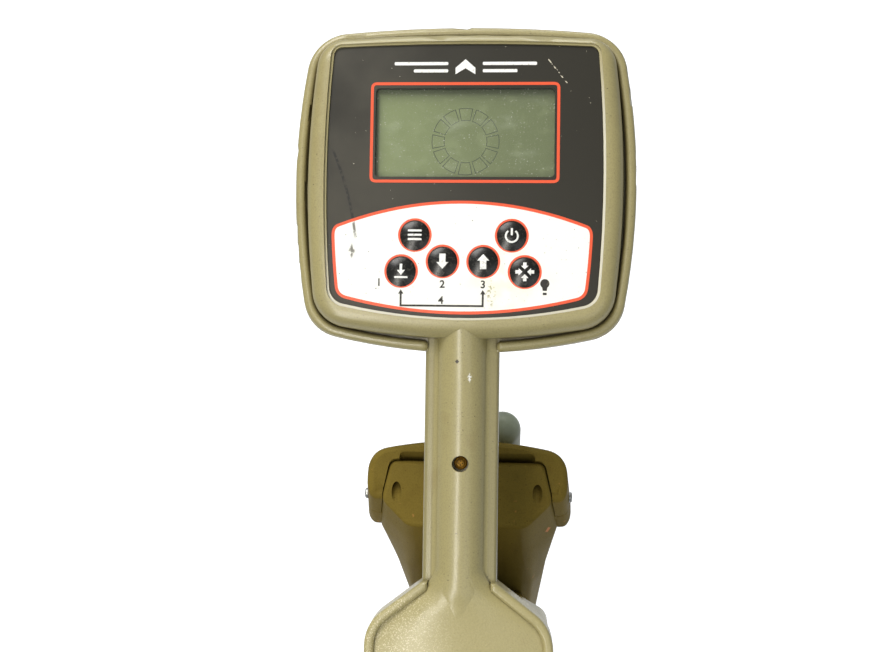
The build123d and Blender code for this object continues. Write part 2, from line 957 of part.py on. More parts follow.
# Battery case: bay, door seat, hinge ears and latch socket
door_inner = pod_end_s + door_thickness
case_rear = door_inner + door_gap
bay_half = 3 * cell_radius + 2 * cell_gap
bay_height = 4 * cell_radius + 3 * cell_gap
bay_front = case_rear + cell_length + cell_nub + contact_plate + 2 * cell_gap
ear_start = hinge_leaf + door_gap
ear_reach = case_rear - pod_end_s - hinge_back
with BuildPart() as battery_case:
    add(case_body())
    extrude(
        across_grip(case_rear, far, pod_bottom - wall, door_top + door_gap), amount=far, mode=Mode.SUBTRACT
    )
    extrude(
        across_grip(bay_front, bay_half, bay_top - bay_height, bay_top),
        amount=bay_front - case_rear,
        mode=Mode.SUBTRACT,
    )
    with BuildSketch(paddle.offset(head_seam)):
        with Locations((0, wire_slot_s)):
            Rectangle(2 * wire_slot_half, wire_slot)
    extrude(amount=-far, mode=Mode.SUBTRACT)
    for side in (1, -1):
        extrude(hinge_round(side * ear_start, hinge_radius), amount=side * hinge_knuckle)
        with BuildSketch(
            Plane(
                origin=paddle_point(side * ear_start, case_rear, hinge_level),
                x_dir=paddle.y_dir,
                z_dir=(1, 0, 0),
            )
        ):
            with Locations(((hinge_root - ear_reach) / 2, 0)):
                Rectangle(ear_reach + hinge_root, 2 * hinge_radius)
        extrude(amount=side * hinge_knuckle)
    extrude(hinge_round(-far, hinge_pin_radius + pin_gap), amount=2 * far, mode=Mode.SUBTRACT)
    extrude(
        hinge_round(-ear_start, hinge_radius + hinge_relief), amount=2 * ear_start, mode=Mode.SUBTRACT
    )
    extrude(
        rounds_across_grip(case_rear, [(0, latch_level)], latch_shank + latch_play),
        amount=-latch_depth,
        mode=Mode.SUBTRACT,
    )
pieces["battery_case"] = battery_case

cell_rows = [
    (x, bay_top - cell_gap - cell_radius - row * (2 * cell_radius + cell_gap))
    for row in (0, 1)
    for x in (-2 * cell_radius - cell_gap, 0, 2 * cell_radius + cell_gap)
]
cell_start = case_rear + cell_gap
with BuildPart() as cells:
    extrude(rounds_across_grip(cell_start, cell_rows, cell_radius), amount=-cell_length)
    extrude(rounds_across_grip(cell_start + cell_length, cell_rows, cell_nub_radius), amount=-cell_nub)
pieces["battery_cells"] = cells

with BuildPart() as contacts:
    with BuildSketch(cross_plane(bay_front)):
        with Locations(*cell_rows):
            Rectangle(cell_radius, cell_radius)
    extrude(amount=contact_plate)
pieces["battery_contacts"] = contacts

# Door with its seal, hinge pin and quarter-turn latch
with BuildPart() as door:
    with BuildSketch(cross_plane(door_inner)):
        with Locations((0, (door_top + door_bottom) / 2)):
            RectangleRounded(2 * pod_half_width, door_top - door_bottom, door_round)
    extrude(amount=door_thickness)
    fillet(door.faces().sort_by(grip_axis)[0].edges(), door_edge)
    extrude(hinge_round(-hinge_leaf, hinge_radius), amount=2 * hinge_leaf)
    extrude(
        across_grip(door_inner - hinge_web_inset, hinge_leaf, hinge_level, door_bottom + hinge_root),
        amount=door_thickness - 2 * hinge_web_inset,
    )
    extrude(hinge_round(-far, hinge_pin_radius + pin_gap), amount=2 * far, mode=Mode.SUBTRACT)
    extrude(
        rounds_across_grip(door_inner, [(0, latch_level)], latch_shank + pin_gap),
        amount=far,
        mode=Mode.SUBTRACT,
    )
    with BuildSketch(cross_plane(door_inner)) as seal_groove:
        with Locations((0, bay_top - bay_height / 2)):
            RectangleRounded(
                2 * (bay_half + seal_width) + seal_gap, bay_height + 2 * seal_width + seal_gap, seal_corner
            )
            RectangleRounded(2 * bay_half - seal_gap, bay_height - seal_gap, seal_corner, mode=Mode.SUBTRACT)
    extrude(amount=seal_depth, mode=Mode.SUBTRACT)
pieces["battery_door"] = door

with BuildPart() as seal:
    with BuildSketch(cross_plane(door_inner + seal_proud)):
        with Locations((0, bay_top - bay_height / 2)):
            RectangleRounded(2 * (bay_half + seal_width), bay_height + 2 * seal_width, seal_corner)
            RectangleRounded(2 * bay_half, bay_height, seal_corner, mode=Mode.SUBTRACT)
    extrude(amount=seal_depth + seal_proud)
pieces["door_seal"] = seal

with BuildPart() as hinge_pin:
    pin_half = ear_start + hinge_knuckle
    extrude(hinge_round(-pin_half, hinge_pin_radius), amount=2 * pin_half)
pieces["door_hinge_pin"] = hinge_pin

with BuildPart() as latch:
    extrude(
        rounds_across_grip(pod_end_s - latch_clear, [(0, latch_level)], latch_radius), amount=latch_height
    )
    fillet(latch.faces().sort_by(grip_axis)[0].edges(), latch_slot / 2)
    with BuildSketch(cross_plane(pod_end_s - latch_clear - latch_height)):
        with Locations((0, latch_level)):
            Rectangle(2 * latch_radius, latch_slot)
    extrude(amount=-latch_slot, mode=Mode.SUBTRACT)
    extrude(
        rounds_across_grip(pod_end_s - latch_clear, [(0, latch_level)], latch_shank),
        amount=-(door_thickness + door_gap + latch_depth / 2),
    )
pieces["door_latch"] = latch


def strut_outline(plane, half, front, rear, inset):
    """One end of the strut: a rectangle with its two front corners cut off."""
    side = half - inset
    cut = strut_chamfer - inset / 2
    with BuildSketch(plane) as outline:
        with BuildLine():
            Polyline(
                (side - cut, front - inset),
                (side, front - inset - cut),
                (side, rear + inset),
                (-side, rear + inset),
                (-side, front - inset - cut),
                (-side + cut, front - inset),
                close=True,
            )
        make_face()
        fillet(outline.vertices(), strut_round - inset)
    return outline.sketch


def strut_body(inset):
    """The strut as one closed form between the pod and the mast."""
    mast_back = Plane(origin=(0, mast_rear, 0), x_dir=(1, 0, 0), z_dir=(0, -1, 0))
    with BuildPart() as body:
        loft(
            [
                strut_outline(paddle.offset(pod_bottom), strut_half, strut_front_s, strut_rear_s, inset),
                strut_outline(mast_back, strut_low_half, strut_high_z, strut_low_z, inset),
            ],
            ruled=True,
        )
    return body.part


# Strut between the pod's underside and the back of the mast
with BuildPart() as strut:
    add(strut_body(0))
    add(strut_body(wall), mode=Mode.SUBTRACT)
pieces["strut"] = strut


def tray_body():
    """The lower part of the cross housing, moulded with the back shell."""
    with BuildPart() as tray:
        add(cross_bar(0))
        add(block((-far, -far, cap_seam_z), (far, far, high)), mode=Mode.SUBTRACT)
    return tray.part


def hood_body():
    """The cap's front wall, which stands up in front of the tongue with rounded corners."""
    with BuildPart() as hood:
        with BuildSketch(cross_plane(0)) as face:
            with Locations((0, hood_level - hood_drop / 2)):
                Rectangle(2 * hood_half, hood_drop)
            fillet(face.vertices().group_by(Axis.Y)[-1], hood_corner)
        extrude(amount=far)
        low = (bar_bottom + cap_seam_z) / 2
        add(block((-far, bar_front - hood_wall, low), (far, bar_front, high)), mode=Mode.INTERSECT)
    return hood.part


def cap_room():
    """The hollow in the cap: all but its trench, its thick front wall and its screw bosses."""
    with BuildPart() as room:
        add(cross_bar(wall))
        low = (-trench_half - wall, trench_rear - wall, trench_floor - wall)
        add(block(low, (trench_half + wall, far, high)), mode=Mode.SUBTRACT)
        add(block((-hood_half, bar_front - hood_wall, 0), (hood_half, far, high)), mode=Mode.SUBTRACT)
        bosses = rear_rounds(bar_front, trough_spots, mast_boss_radius)
        extrude(bosses, amount=bar_front - flare_rear, mode=Mode.SUBTRACT)
        for side in (1, -1):
            boss = rod_rounds(side * end_seat, end_screw_y, end_screw_z, end_boss)
            extrude(boss, amount=-side * end_screw_length, mode=Mode.SUBTRACT)
    return room.part


def seam_groove():
    """A shadow line round the cap's lower edge."""
    with BuildPart() as groove:
        add(cross_bar(0))
        add(cross_bar(cap_groove), mode=Mode.SUBTRACT)
        add(block((-far, -far, cap_seam_z), (far, far, cap_seam_z + cap_groove)), mode=Mode.INTERSECT)
    return groove.part


def screw_bosses(form, radius):
    """Solid rounds for the tongue's screws, trimmed to an outer form."""
    with BuildPart() as bosses:
        extrude(rear_rounds(bar_front, trough_spots, radius), amount=bar_front - flare_rear)
        add(form, mode=Mode.INTERSECT)
    return bosses.part


def under_roof(rear, drop):
    """All that lies in front of a plane across Y and under the cross housing's roof."""
    with BuildPart() as room:
        add(block((-far, rear, 0), (far, far, high)))
        split(bisect_by=paddle.offset(bar_level - wall - drop), keep=Keep.BOTTOM)
    return room.part


def tongue_tool():
    """The room that the cap leaves for the tongue."""
    with BuildPart() as tool:
        add(mast_core(-tongue_gap))
        add(under_roof(mast_seam + tongue_gap, tongue_gap), mode=Mode.SUBTRACT)
    return tool.part


# Mast shells: the back one carries the tongue and the tray of the cross housing
screw_spots = [(side * mast_screw_x, z) for z in mast_screw_rows for side in (1, -1)]
trough_spots = [(trough_x, trough_z), (-trough_x, trough_z)]
board_spots = [
    (side * (main_board_half - board_post_inset), z)
    for z in (main_board_low + board_post_inset, main_board_high - board_post_inset)
    for side in (1, -1)
]
wire_spot = [(0, (strut_low_z + strut_high_z) / 2)]
inner_front = mast_front - wall / 2
with BuildPart() as rear_shell:
    add(mast_core(0))
    add(mast_core(wall), mode=Mode.SUBTRACT)
    add(screw_bosses(mast_core(0), trough_boss))
    add(under_roof(mast_seam, 0), mode=Mode.SUBTRACT)
    add(tray_body())
    add(cross_bar(wall), mode=Mode.SUBTRACT)
    extrude(rear_rounds(mast_seam, wire_spot, wire_hole_half), amount=far, mode=Mode.SUBTRACT)
    extrude(rear_rounds(mast_seam, screw_spots, mast_boss_radius), amount=mast_seam - mast_rear - wall / 2)
    extrude(
        rear_rounds(mast_seam, screw_spots, mast_screw_radius + seat_gap), amount=far, mode=Mode.SUBTRACT
    )
    extrude(
        rear_rounds(mast_rear + mast_screw_sink, screw_spots, mast_screw_head + seat_gap),
        amount=far,
        mode=Mode.SUBTRACT,
    )
    extrude(rear_rounds(trough_seat_y, trough_spots, trough_radius), amount=far, mode=Mode.SUBTRACT)
    extrude(
        rear_rounds(trough_seat_y, trough_spots, tongue_screw_radius + seat_gap),
        amount=-far,
        mode=Mode.SUBTRACT,
    )
    with BuildSketch(Plane.XY.offset(bar_bottom)):
        with Locations((0, upper_rod_y)):
            RectangleRounded(2 * wire_hole_half, wire_hole_half, wire_hole_half / 3)
    extrude(amount=wall, mode=Mode.SUBTRACT)
pieces["rear_shell"] = rear_shell

with BuildPart() as front_shell:
    add(mast_core(0))
    add(block((-far, -far, 0), (far, mast_seam, high)), mode=Mode.SUBTRACT)
    add(block((-far, -far, bar_bottom), (far, far, high)), mode=Mode.SUBTRACT)
    add(mast_core(wall), mode=Mode.SUBTRACT)
    extrude(rear_rounds(inner_front, screw_spots, mast_boss_radius), amount=inner_front - mast_seam)
    extrude(
        rear_rounds(mast_seam, screw_spots, mast_screw_radius), amount=-mast_screw_bite, mode=Mode.SUBTRACT
    )
    extrude(rear_rounds(inner_front, board_spots, standoff_radius), amount=inner_front - main_board_y)
pieces["front_shell"] = front_shell

# Bracket on the mast's front that holds the stub antenna
with BuildPart() as stub_holder:
    holder_low = stub_base - stub_boss_height
    with BuildSketch(Plane.XY.offset(holder_low)):
        with Locations((stub_x, stub_y)):
            Circle(stub_boss_radius)
        with Locations((stub_x, stub_y / 2)):
            Rectangle(2 * stub_bridge_half, stub_y)
    extrude(amount=stub_boss_height)
    add(
        block(
            (stub_x - stub_plate_half, 0, holder_low - stub_plate_margin),
            (stub_x + stub_plate_half, mast_front + stub_plate, stub_base + stub_plate_margin),
        )
    )
    add(mast_core(0), mode=Mode.SUBTRACT)
pieces["stub_holder"] = stub_holder

# Cap over the upper antenna, fitted round the tongue
rod_z = bar_bottom + wall + coil_flange + seat_gap
end_boss = 2 * end_screw_shank
end_seat = bar_half - (end_screw_z - bar_bottom) * bar_draft - end_screw_sink
with BuildPart() as antenna_cap:
    add(cross_bar(0))
    add(hood_body())
    add(block((-far, -far, 0), (far, far, cap_seam_z)), mode=Mode.SUBTRACT)
    add(cap_room(), mode=Mode.SUBTRACT)
    for side in (1, -1):
        hole = rod_rounds(side * end_seat, end_screw_y, end_screw_z, end_screw_shank)
        extrude(hole, amount=-side * end_screw_length, mode=Mode.SUBTRACT)
        seat = rod_rounds(side * end_seat, end_screw_y, end_screw_z, end_screw_radius + seat_gap)
        extrude(seat, amount=side * wall, mode=Mode.SUBTRACT)
    add(tongue_tool(), mode=Mode.SUBTRACT)
    add(seam_groove(), mode=Mode.SUBTRACT)
    holes = rear_rounds(trough_seat_y, trough_spots, tongue_screw_radius)
    extrude(holes, amount=-tongue_screw_reach, mode=Mode.SUBTRACT)
    trench = block((-trench_half, trench_rear, trench_floor), (trench_half, bar_front - hood_wall, high))
    add(trench, mode=Mode.SUBTRACT)
pieces["antenna_cap"] = antenna_cap


def antenna_rod(y, z, half):
    """A ferrite rod lying across the locator."""
    with BuildPart() as rod:
        extrude(rod_rounds(-half, y, z, rod_radius), amount=2 * half)
    return rod


def antenna_coil(y, z):
    """A bobbin with its winding round the rod, between two flanges."""
    with BuildPart() as coil:
        extrude(rod_rounds(-coil_half, y, z, coil_radius), amount=2 * coil_half)
        for start in (-coil_half, coil_half - coil_flange_width):
            extrude(rod_rounds(start, y, z, coil_flange), amount=coil_flange_width)
        extrude(rod_rounds(-coil_half, y, z, rod_radius + seat_gap), amount=2 * coil_half, mode=Mode.SUBTRACT)
    return coil


pieces["upper_antenna_rod"] = antenna_rod(upper_rod_y, rod_z, rod_half)
pieces["upper_antenna_coil"] = antenna_coil(upper_rod_y, rod_z)

with BuildPart() as main_board:
    with BuildSketch(Plane(origin=(0, main_board_y, 0), x_dir=(1, 0, 0), z_dir=(0, -1, 0))):
        with Locations((0, (main_board_low + main_board_high) / 2)):
            Rectangle(2 * main_board_half, main_board_high - main_board_low)
    extrude(amount=board_thickness)
pieces["main_board"] = main_board

with BuildPart() as mast_screws:
    screw_seat_y = mast_rear + mast_screw_sink
    extrude(rear_rounds(screw_seat_y, screw_spots, mast_screw_head), amount=mast_screw_cap)
    extrude(
        rear_rounds(screw_seat_y, screw_spots, mast_screw_radius),
        amount=screw_seat_y - mast_seam - mast_screw_bite + screw_tip,
    )
pieces["mast_screws"] = mast_screws

with BuildPart() as tongue_screws:
    extrude(rear_rounds(trough_seat_y, trough_spots, tongue_screw_head), amount=mast_screw_cap)
    extrude(
        rear_rounds(trough_seat_y, trough_spots, tongue_screw_radius),
        amount=screw_tip - tongue_screw_reach,
    )
pieces["tongue_screws"] = tongue_screws

with BuildPart() as end_screws:
    for side in (1, -1):
        extrude(
            rod_rounds(side * end_seat, end_screw_y, end_screw_z, end_screw_radius),
            amount=side * end_screw_height,
        )
    end_faces = end_screws.faces().sort_by(Axis.X)
    fillet(end_faces[-1].edges() + end_faces[0].edges(), end_screw_height / 2)
    for side in (1, -1):
        extrude(
            rod_rounds(side * end_seat, end_screw_y, end_screw_z, end_screw_shank),
            amount=-side * (end_screw_length - screw_tip),
        )
pieces["cap_end_screws"] = end_screws

# Stub antenna on its boss
with BuildPart() as stub_nut:
    with BuildSketch(Plane.XY.offset(stub_base)):
        with Locations((stub_x, stub_y)):
            RegularPolygon(stub_nut_radius, 6)
    extrude(amount=stub_nut_height)
pieces["stub_nut"] = stub_nut

with BuildPart() as stub:
    stub_low = stub_base + stub_nut_height
    with BuildSketch(Plane(origin=(stub_x, stub_y, 0), x_dir=(1, 0, 0), z_dir=(0, -1, 0))):
        with BuildLine():
            Polyline(
                (0, stub_top), (0, stub_low), (stub_radius, stub_low), (stub_radius, stub_top - stub_radius)
            )
            RadiusArc((stub_radius, stub_top - stub_radius), (0, stub_top), -stub_radius)
        make_face()
    revolve(axis=Axis((stub_x, stub_y, 0), (0, 0, 1)))
pieces["stub_antenna"] = stub

# Foot: flared housing, bottom plate, lower antenna, sole and screws
foot_mid = (foot_front + foot_rear) / 2
foot_spots = [
    (x, foot_mid + y) for x in (-foot_screw_x, foot_screw_x) for y in (-foot_screw_y, foot_screw_y)
]
plate_z = sole_thickness
with BuildPart() as foot:
    loft(
        [
            foot_section(plate_z, foot_half_width, foot_rear, foot_front, foot_corner),
            foot_section(foot_flange_z, foot_half_width, foot_rear, foot_front, foot_corner),
            foot_section(foot_waist_z, foot_waist_half, foot_waist_rear, foot_waist_front, foot_waist_corner),
            foot_section(
                mast_foot_z + foot_socket,
                mast_foot_half + foot_collar,
                mast_rear - foot_collar,
                mast_front + foot_collar,
                foot_collar_corner,
            ),
        ],
        ruled=True,
    )
    loft(
        [
            straight_section(mast_foot_z, mast_foot_half, -seat_gap),
            straight_section(mast_foot_z + foot_socket, mast_foot_half + seat_gap, -seat_gap),
        ],
        ruled=True,
        mode=Mode.SUBTRACT,
    )
    extrude(foot_room(plate_z, wall), amount=foot_plate, mode=Mode.SUBTRACT)
    loft(
        [
            foot_room(plate_z + foot_plate, wall),
            foot_section(
                foot_waist_z,
                foot_waist_half - 2 * wall,
                foot_waist_rear + 2 * wall,
                foot_waist_front - 2 * wall,
                foot_waist_corner - wall,
            ),
        ],
        ruled=True,
        mode=Mode.SUBTRACT,
    )
    with BuildSketch(Plane.XY.offset(plate_z + foot_plate)):
        with Locations(*foot_spots):
            Circle(foot_boss_radius)
    extrude(until=Until.NEXT)
    with BuildSketch(Plane.XY.offset(plate_z)):
        with Locations(*foot_spots):
            Circle(foot_screw_radius)
    extrude(amount=foot_screw_bite + foot_plate, mode=Mode.SUBTRACT)
    with BuildSketch(Plane.XY.offset(foot_waist_z)):
        Circle(wire_hole_half)
    extrude(amount=mast_foot_z, mode=Mode.SUBTRACT)
pieces["foot_housing"] = foot

with BuildPart() as foot_cover:
    extrude(foot_room(plate_z, wall + seat_gap), amount=foot_plate)
    with BuildSketch(Plane.XY.offset(plate_z)):
        with Locations(*foot_spots):
            Circle(foot_screw_radius + seat_gap)
    extrude(amount=foot_plate, mode=Mode.SUBTRACT)
pieces["foot_plate"] = foot_cover

with BuildPart() as sole:
    extrude(foot_room(0, -sole_lip), amount=sole_thickness)
    fillet(sole.faces().sort_by(Axis.Z)[0].edges() + sole.faces().sort_by(Axis.Z)[-1].edges(), sole_round)
    with BuildSketch(Plane.XY):
        with Locations(*foot_spots):
            Circle(foot_screw_head + 2 * seat_gap)
    extrude(amount=sole_thickness - foot_screw_seat, mode=Mode.SUBTRACT)
    with BuildSketch(Plane.XY):
        with Locations(*foot_spots):
            Circle(foot_screw_radius + seat_gap)
    extrude(amount=sole_thickness, mode=Mode.SUBTRACT)
pieces["foot_sole"] = sole

with BuildPart() as foot_screws:
    seat_z = sole_thickness - foot_screw_seat
    with BuildSketch(Plane.XY.offset(seat_z)):
        with Locations(*foot_spots):
            Circle(foot_screw_head)
    extrude(amount=-foot_screw_cap)
    with BuildSketch(Plane.XY.offset(seat_z)):
        with Locations(*foot_spots):
            Circle(foot_screw_radius)
    extrude(amount=foot_screw_seat + foot_plate + foot_screw_bite - screw_tip)
pieces["foot_screws"] = foot_screws

lower_rod_z = plate_z + foot_plate + coil_flange + seat_gap
pieces["lower_antenna_rod"] = antenna_rod(foot_mid, lower_rod_z, lower_rod_half)
pieces["lower_antenna_coil"] = antenna_coil(foot_mid, lower_rod_z)

for piece_name, piece in pieces.items():
    piece.part.label = piece_name
    export_step(piece.part, f"parts/{piece_name}.step")
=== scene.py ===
"""Drill tracking locator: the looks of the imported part.

Laid out as a Blender add-on and run as a script. Objects are in metres, in the part's own frame: +Z up,
+Y away from the operator, origin on the floor under the mast. Shapes are worked out in millimetres: prints
on the paddle as x to the right, s up along the grip and level out of the display, and the mast as x, y, z.
"""

import json
import math

import bmesh
import bpy
from mathutils import Matrix, Vector


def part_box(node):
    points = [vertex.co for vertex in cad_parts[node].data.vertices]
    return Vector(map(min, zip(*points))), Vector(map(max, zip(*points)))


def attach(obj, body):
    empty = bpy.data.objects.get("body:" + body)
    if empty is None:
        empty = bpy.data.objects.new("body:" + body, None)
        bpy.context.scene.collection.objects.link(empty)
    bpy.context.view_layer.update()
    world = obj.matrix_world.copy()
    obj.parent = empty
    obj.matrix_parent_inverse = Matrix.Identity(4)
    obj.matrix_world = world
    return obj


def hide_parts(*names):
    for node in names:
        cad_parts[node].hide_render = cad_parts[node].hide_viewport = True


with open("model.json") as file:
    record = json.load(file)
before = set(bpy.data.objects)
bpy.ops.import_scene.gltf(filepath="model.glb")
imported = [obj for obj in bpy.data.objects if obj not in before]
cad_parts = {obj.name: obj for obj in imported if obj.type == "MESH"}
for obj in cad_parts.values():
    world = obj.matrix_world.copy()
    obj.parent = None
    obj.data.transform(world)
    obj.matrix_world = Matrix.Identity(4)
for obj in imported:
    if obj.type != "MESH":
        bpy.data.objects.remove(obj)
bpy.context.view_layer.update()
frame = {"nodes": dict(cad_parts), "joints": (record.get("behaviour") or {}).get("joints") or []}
nodes = frame["nodes"]

bl_info = {
    "name": "Drill tracking locator",
    "version": (1, 1, 0),
    "blender": (4, 5, 0),
    "location": "View3D > Sidebar > Locator",
    "description": "Dresses the packed locator and sets up its stage",
    "category": "Object",
}

MM = 0.001
BODY = "locator_body"
FINE_EDGE = 0.5
SHARP_ANGLE = math.radians(38)
QUARTER_TURN = [math.radians(angle) for angle in (0, 22.5, 45, 67.5, 90)]


def paddle_axes():
    """The display's own axes, from the way its keys travel, and its middle, from the panel sheet."""
    press = next(j["axis"] for j in frame["joints"] if j["name"] == "key_up_press")
    out = -Vector(press).normalized()
    along = Vector((0, out.z, -out.y))
    sheet = [v.co for v in nodes["panel_sheet"].data.vertices]
    reach = [p.dot(along) for p in sheet]
    centre = along * (min(reach) + max(reach)) / 2 + out * max(p.dot(out) for p in sheet)
    return Vector((1, 0, 0)), along, out, centre


side_dir, grip_dir, face_dir, display_centre = paddle_axes()
paddle = Matrix.Translation(display_centre) @ Matrix((side_dir, grip_dir, face_dir)).transposed().to_4x4()
to_paddle = paddle.inverted()


def tint(red, green, blue):
    """A colour as a screen shows it (0 to 255), in Blender's linear values."""
    parts = [c / 255 for c in (red, green, blue)]
    return tuple(c / 12.92 if c <= 0.04045 else ((c + 0.055) / 1.055) ** 2.4 for c in parts)


def shade_of(colour, factor):
    """A colour made darker or paler."""
    return tuple(min(c * factor, 1.0) for c in colour[:3])


def length(name, millimetres, description):
    """A size that a user may change."""
    return bpy.props.FloatProperty(
        name=name, description=description, default=millimetres * MM, unit="LENGTH", precision=5
    )


def colour(name, description, screen):
    """A finish's colour that a user may change, given as a screen shows it."""
    return bpy.props.FloatVectorProperty(
        name=name, description=description, subtype="COLOR", min=0.0, max=1.0, default=tint(*screen)
    )


class LocatorSizes(bpy.types.PropertyGroup):
    """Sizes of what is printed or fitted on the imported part."""

    print_film: length("Print film", 0.08, "Thickness of a printed layer")
    screen_frame_width: length("Screen frame width", 86.3, "To the middle of the line round the screen")
    screen_frame_height: length("Screen frame height", 45.6, "To the middle of the line round the screen")
    screen_frame_line: length("Screen frame line", 1.35, "Width of the line round the screen")
    screen_frame_corner: length("Screen frame corner", 2.5, "Corner of the line round the screen")
    field_top_half: length("Key field shoulder", 60.3, "Half width of the key field at its shoulders")
    field_low_half: length("Key field foot", 57.6, "Half width of the key field at its foot")
    field_shift: length("Key field shift", -0.9, "How far the key field sits to the side")
    field_shoulder_s: length("Shoulder place", -21.6, "Place of the shoulders along the grip")
    field_foot_s: length("Foot place", -54.0, "Place of the field's foot along the grip")
    field_top_bow: length("Upper bow", 12.2, "Rise of the field's upper arc")
    field_low_bow: length("Lower bow", 7.9, "Drop of the field's lower arc")
    field_line: length("Field outline", 1.4, "Width of the outline round the key field")
    key_ring: length("Key ring", 7.8, "Outer radius of the ring round a key")
    key_ring_inner: length("Key ring inside", 6.86, "Inner radius of the ring round a key")
    sign_height: length("Numeral", 3.5, "Height of a numeral under the keys")
    dial_radius: length("Segment ring", 15.8, "Outer radius of the ring of segments on the display")
    dial_inner: length("Segment ring inside", 9.8, "Inner radius of the ring of segments")
    dial_line: length("Segment line", 0.34, "Width of a segment's outline")
    dial_gap: length("Segment gap", 1.1, "Gap between two segments")


class MastSizes(bpy.types.PropertyGroup):
    """Sizes of the mast's shells and of the cap over its cross antenna."""

    foot_z: length("Mast foot", 74.0, "Height of the mast's lower end")
    foot_half: length("Mast foot half width", 33.0, "Half width across the flanks at the lower end")
    foot_edge_half: length("Mast foot edges", 32.0, "Half width of back and front at the lower end")
    foot_flank_y: length("Foot flank edge", -9.0, "Place of the flanks' widest line at the lower end")
    rear: length("Mast back", -24.0, "Place of the flat back")
    front: length("Mast front", 23.0, "Place of the flat front")
    seam: length("Mast seam", -2.0, "Place of the parting line between the shells")
    seam_gap: length("Mast seam gap", 0.35, "Width of the parting line")
    neck_z: length("Neck", 475.0, "Height at which the flare starts")
    neck_rear_half: length("Neck back half width", 36.5, "Half width of the flat back at the neck")
    neck_wide_half: length("Neck half width", 46.0, "Half width across the flanks at the neck")
    neck_front_half: length("Neck front half width", 44.0, "Half width of the front at the neck")
    flare_z: length("Flare", 537.0, "Height at which the mast is widest")
    flare_rear_half: length("Flare back half width", 33.0, "Half width of the back at the flare")
    flare_rear: length("Flare back", -21.5, "Place of the back at the flare")
    flare_wide_half: length("Flare half width", 51.0, "Half width across the flanks at the flare")
    flare_front_half: length("Flare front half width", 44.0, "Half width of the front at the flare")
    flare_front: length("Flare front", 19.0, "Place of the front at the flare")
    flank_y: length("Flank edge", -6.5, "Place of the widest line along the flanks")
    tongue_z: length("Tongue", 612.0, "Height to which the tongue is drawn in")
    tongue_rear_half: length("Tongue back half width", 29.5, "Half width of the tongue's back")
    tongue_rear: length("Tongue back", -17.0, "Place of the tongue's back")
    tongue_wide_half: length("Tongue half width", 41.5, "Half width across the tongue's edges")
    tongue_front_half: length("Tongue front half width", 39.5, "Half width of the tongue's front")
    tongue_front: length("Tongue front", 9.0, "Place of the tongue's front")
    tongue_level: length("Tongue level", -88.0, "Level of the tongue's top under the display")
    tongue_round: length("Tongue round", 2.6, "Rounding of the tongue's top")
    tongue_gap: length("Tongue gap", 0.45, "Gap between the tongue and the cap")
    bar_half: length("Cross housing half width", 58.3, "Half width of the cross housing at its foot")
    bar_draw: length("Cross housing draw", 8.75, "How much each end is drawn in over 100 mm of height")
    bar_rear: length("Cross housing back", -6.0, "Place of the cross housing's back")
    bar_front: length("Cross housing front", 23.0, "Place of the front in the middle")
    bar_front_side: length("Cross housing front side", 17.0, "Place of the front at the ends")
    bar_foot: length("Cross housing foot", 527.0, "Height of the cross housing's underside")
    bar_foot_round: length("Cross housing foot round", 10.0, "Rounding of the underside")
    cap_seam: length("Cap seam", 553.6, "Height of the cap's lower edge")
    cap_groove: length("Cap groove", 0.8, "Depth and width of the groove over the tray")
    roof_level: length("Cap roof", -88.0, "Level of the cap's roof under the display")
    roof_round: length("Cap roof round", 4.0, "Rounding of the cap's upper edge")
    slot_half: length("Slot half width", 36.2, "Half width of the slot between the tongue and the cap")
    slot_front: length("Slot front", 15.6, "Place of the slot's front wall")
    slot_floor: length("Slot floor", 557.0, "Height of the slot's floor")
    trough_x: length("Trough", 37.5, "Place of a tongue screw's trough from the middle")
    trough_z: length("Trough height", 581.0, "Height of a tongue screw's trough")
    trough_radius: length("Trough radius", 2.6, "Radius of a tongue screw's trough")
    trough_seat: length("Trough seat", 6.0, "Place of a tongue screw's seat")
    screw_well: length("Screw well", 2.95, "Radius of the well over a mast screw")
    screw_sink: length("Screw sink", 3.2, "Depth of the well over a mast screw")


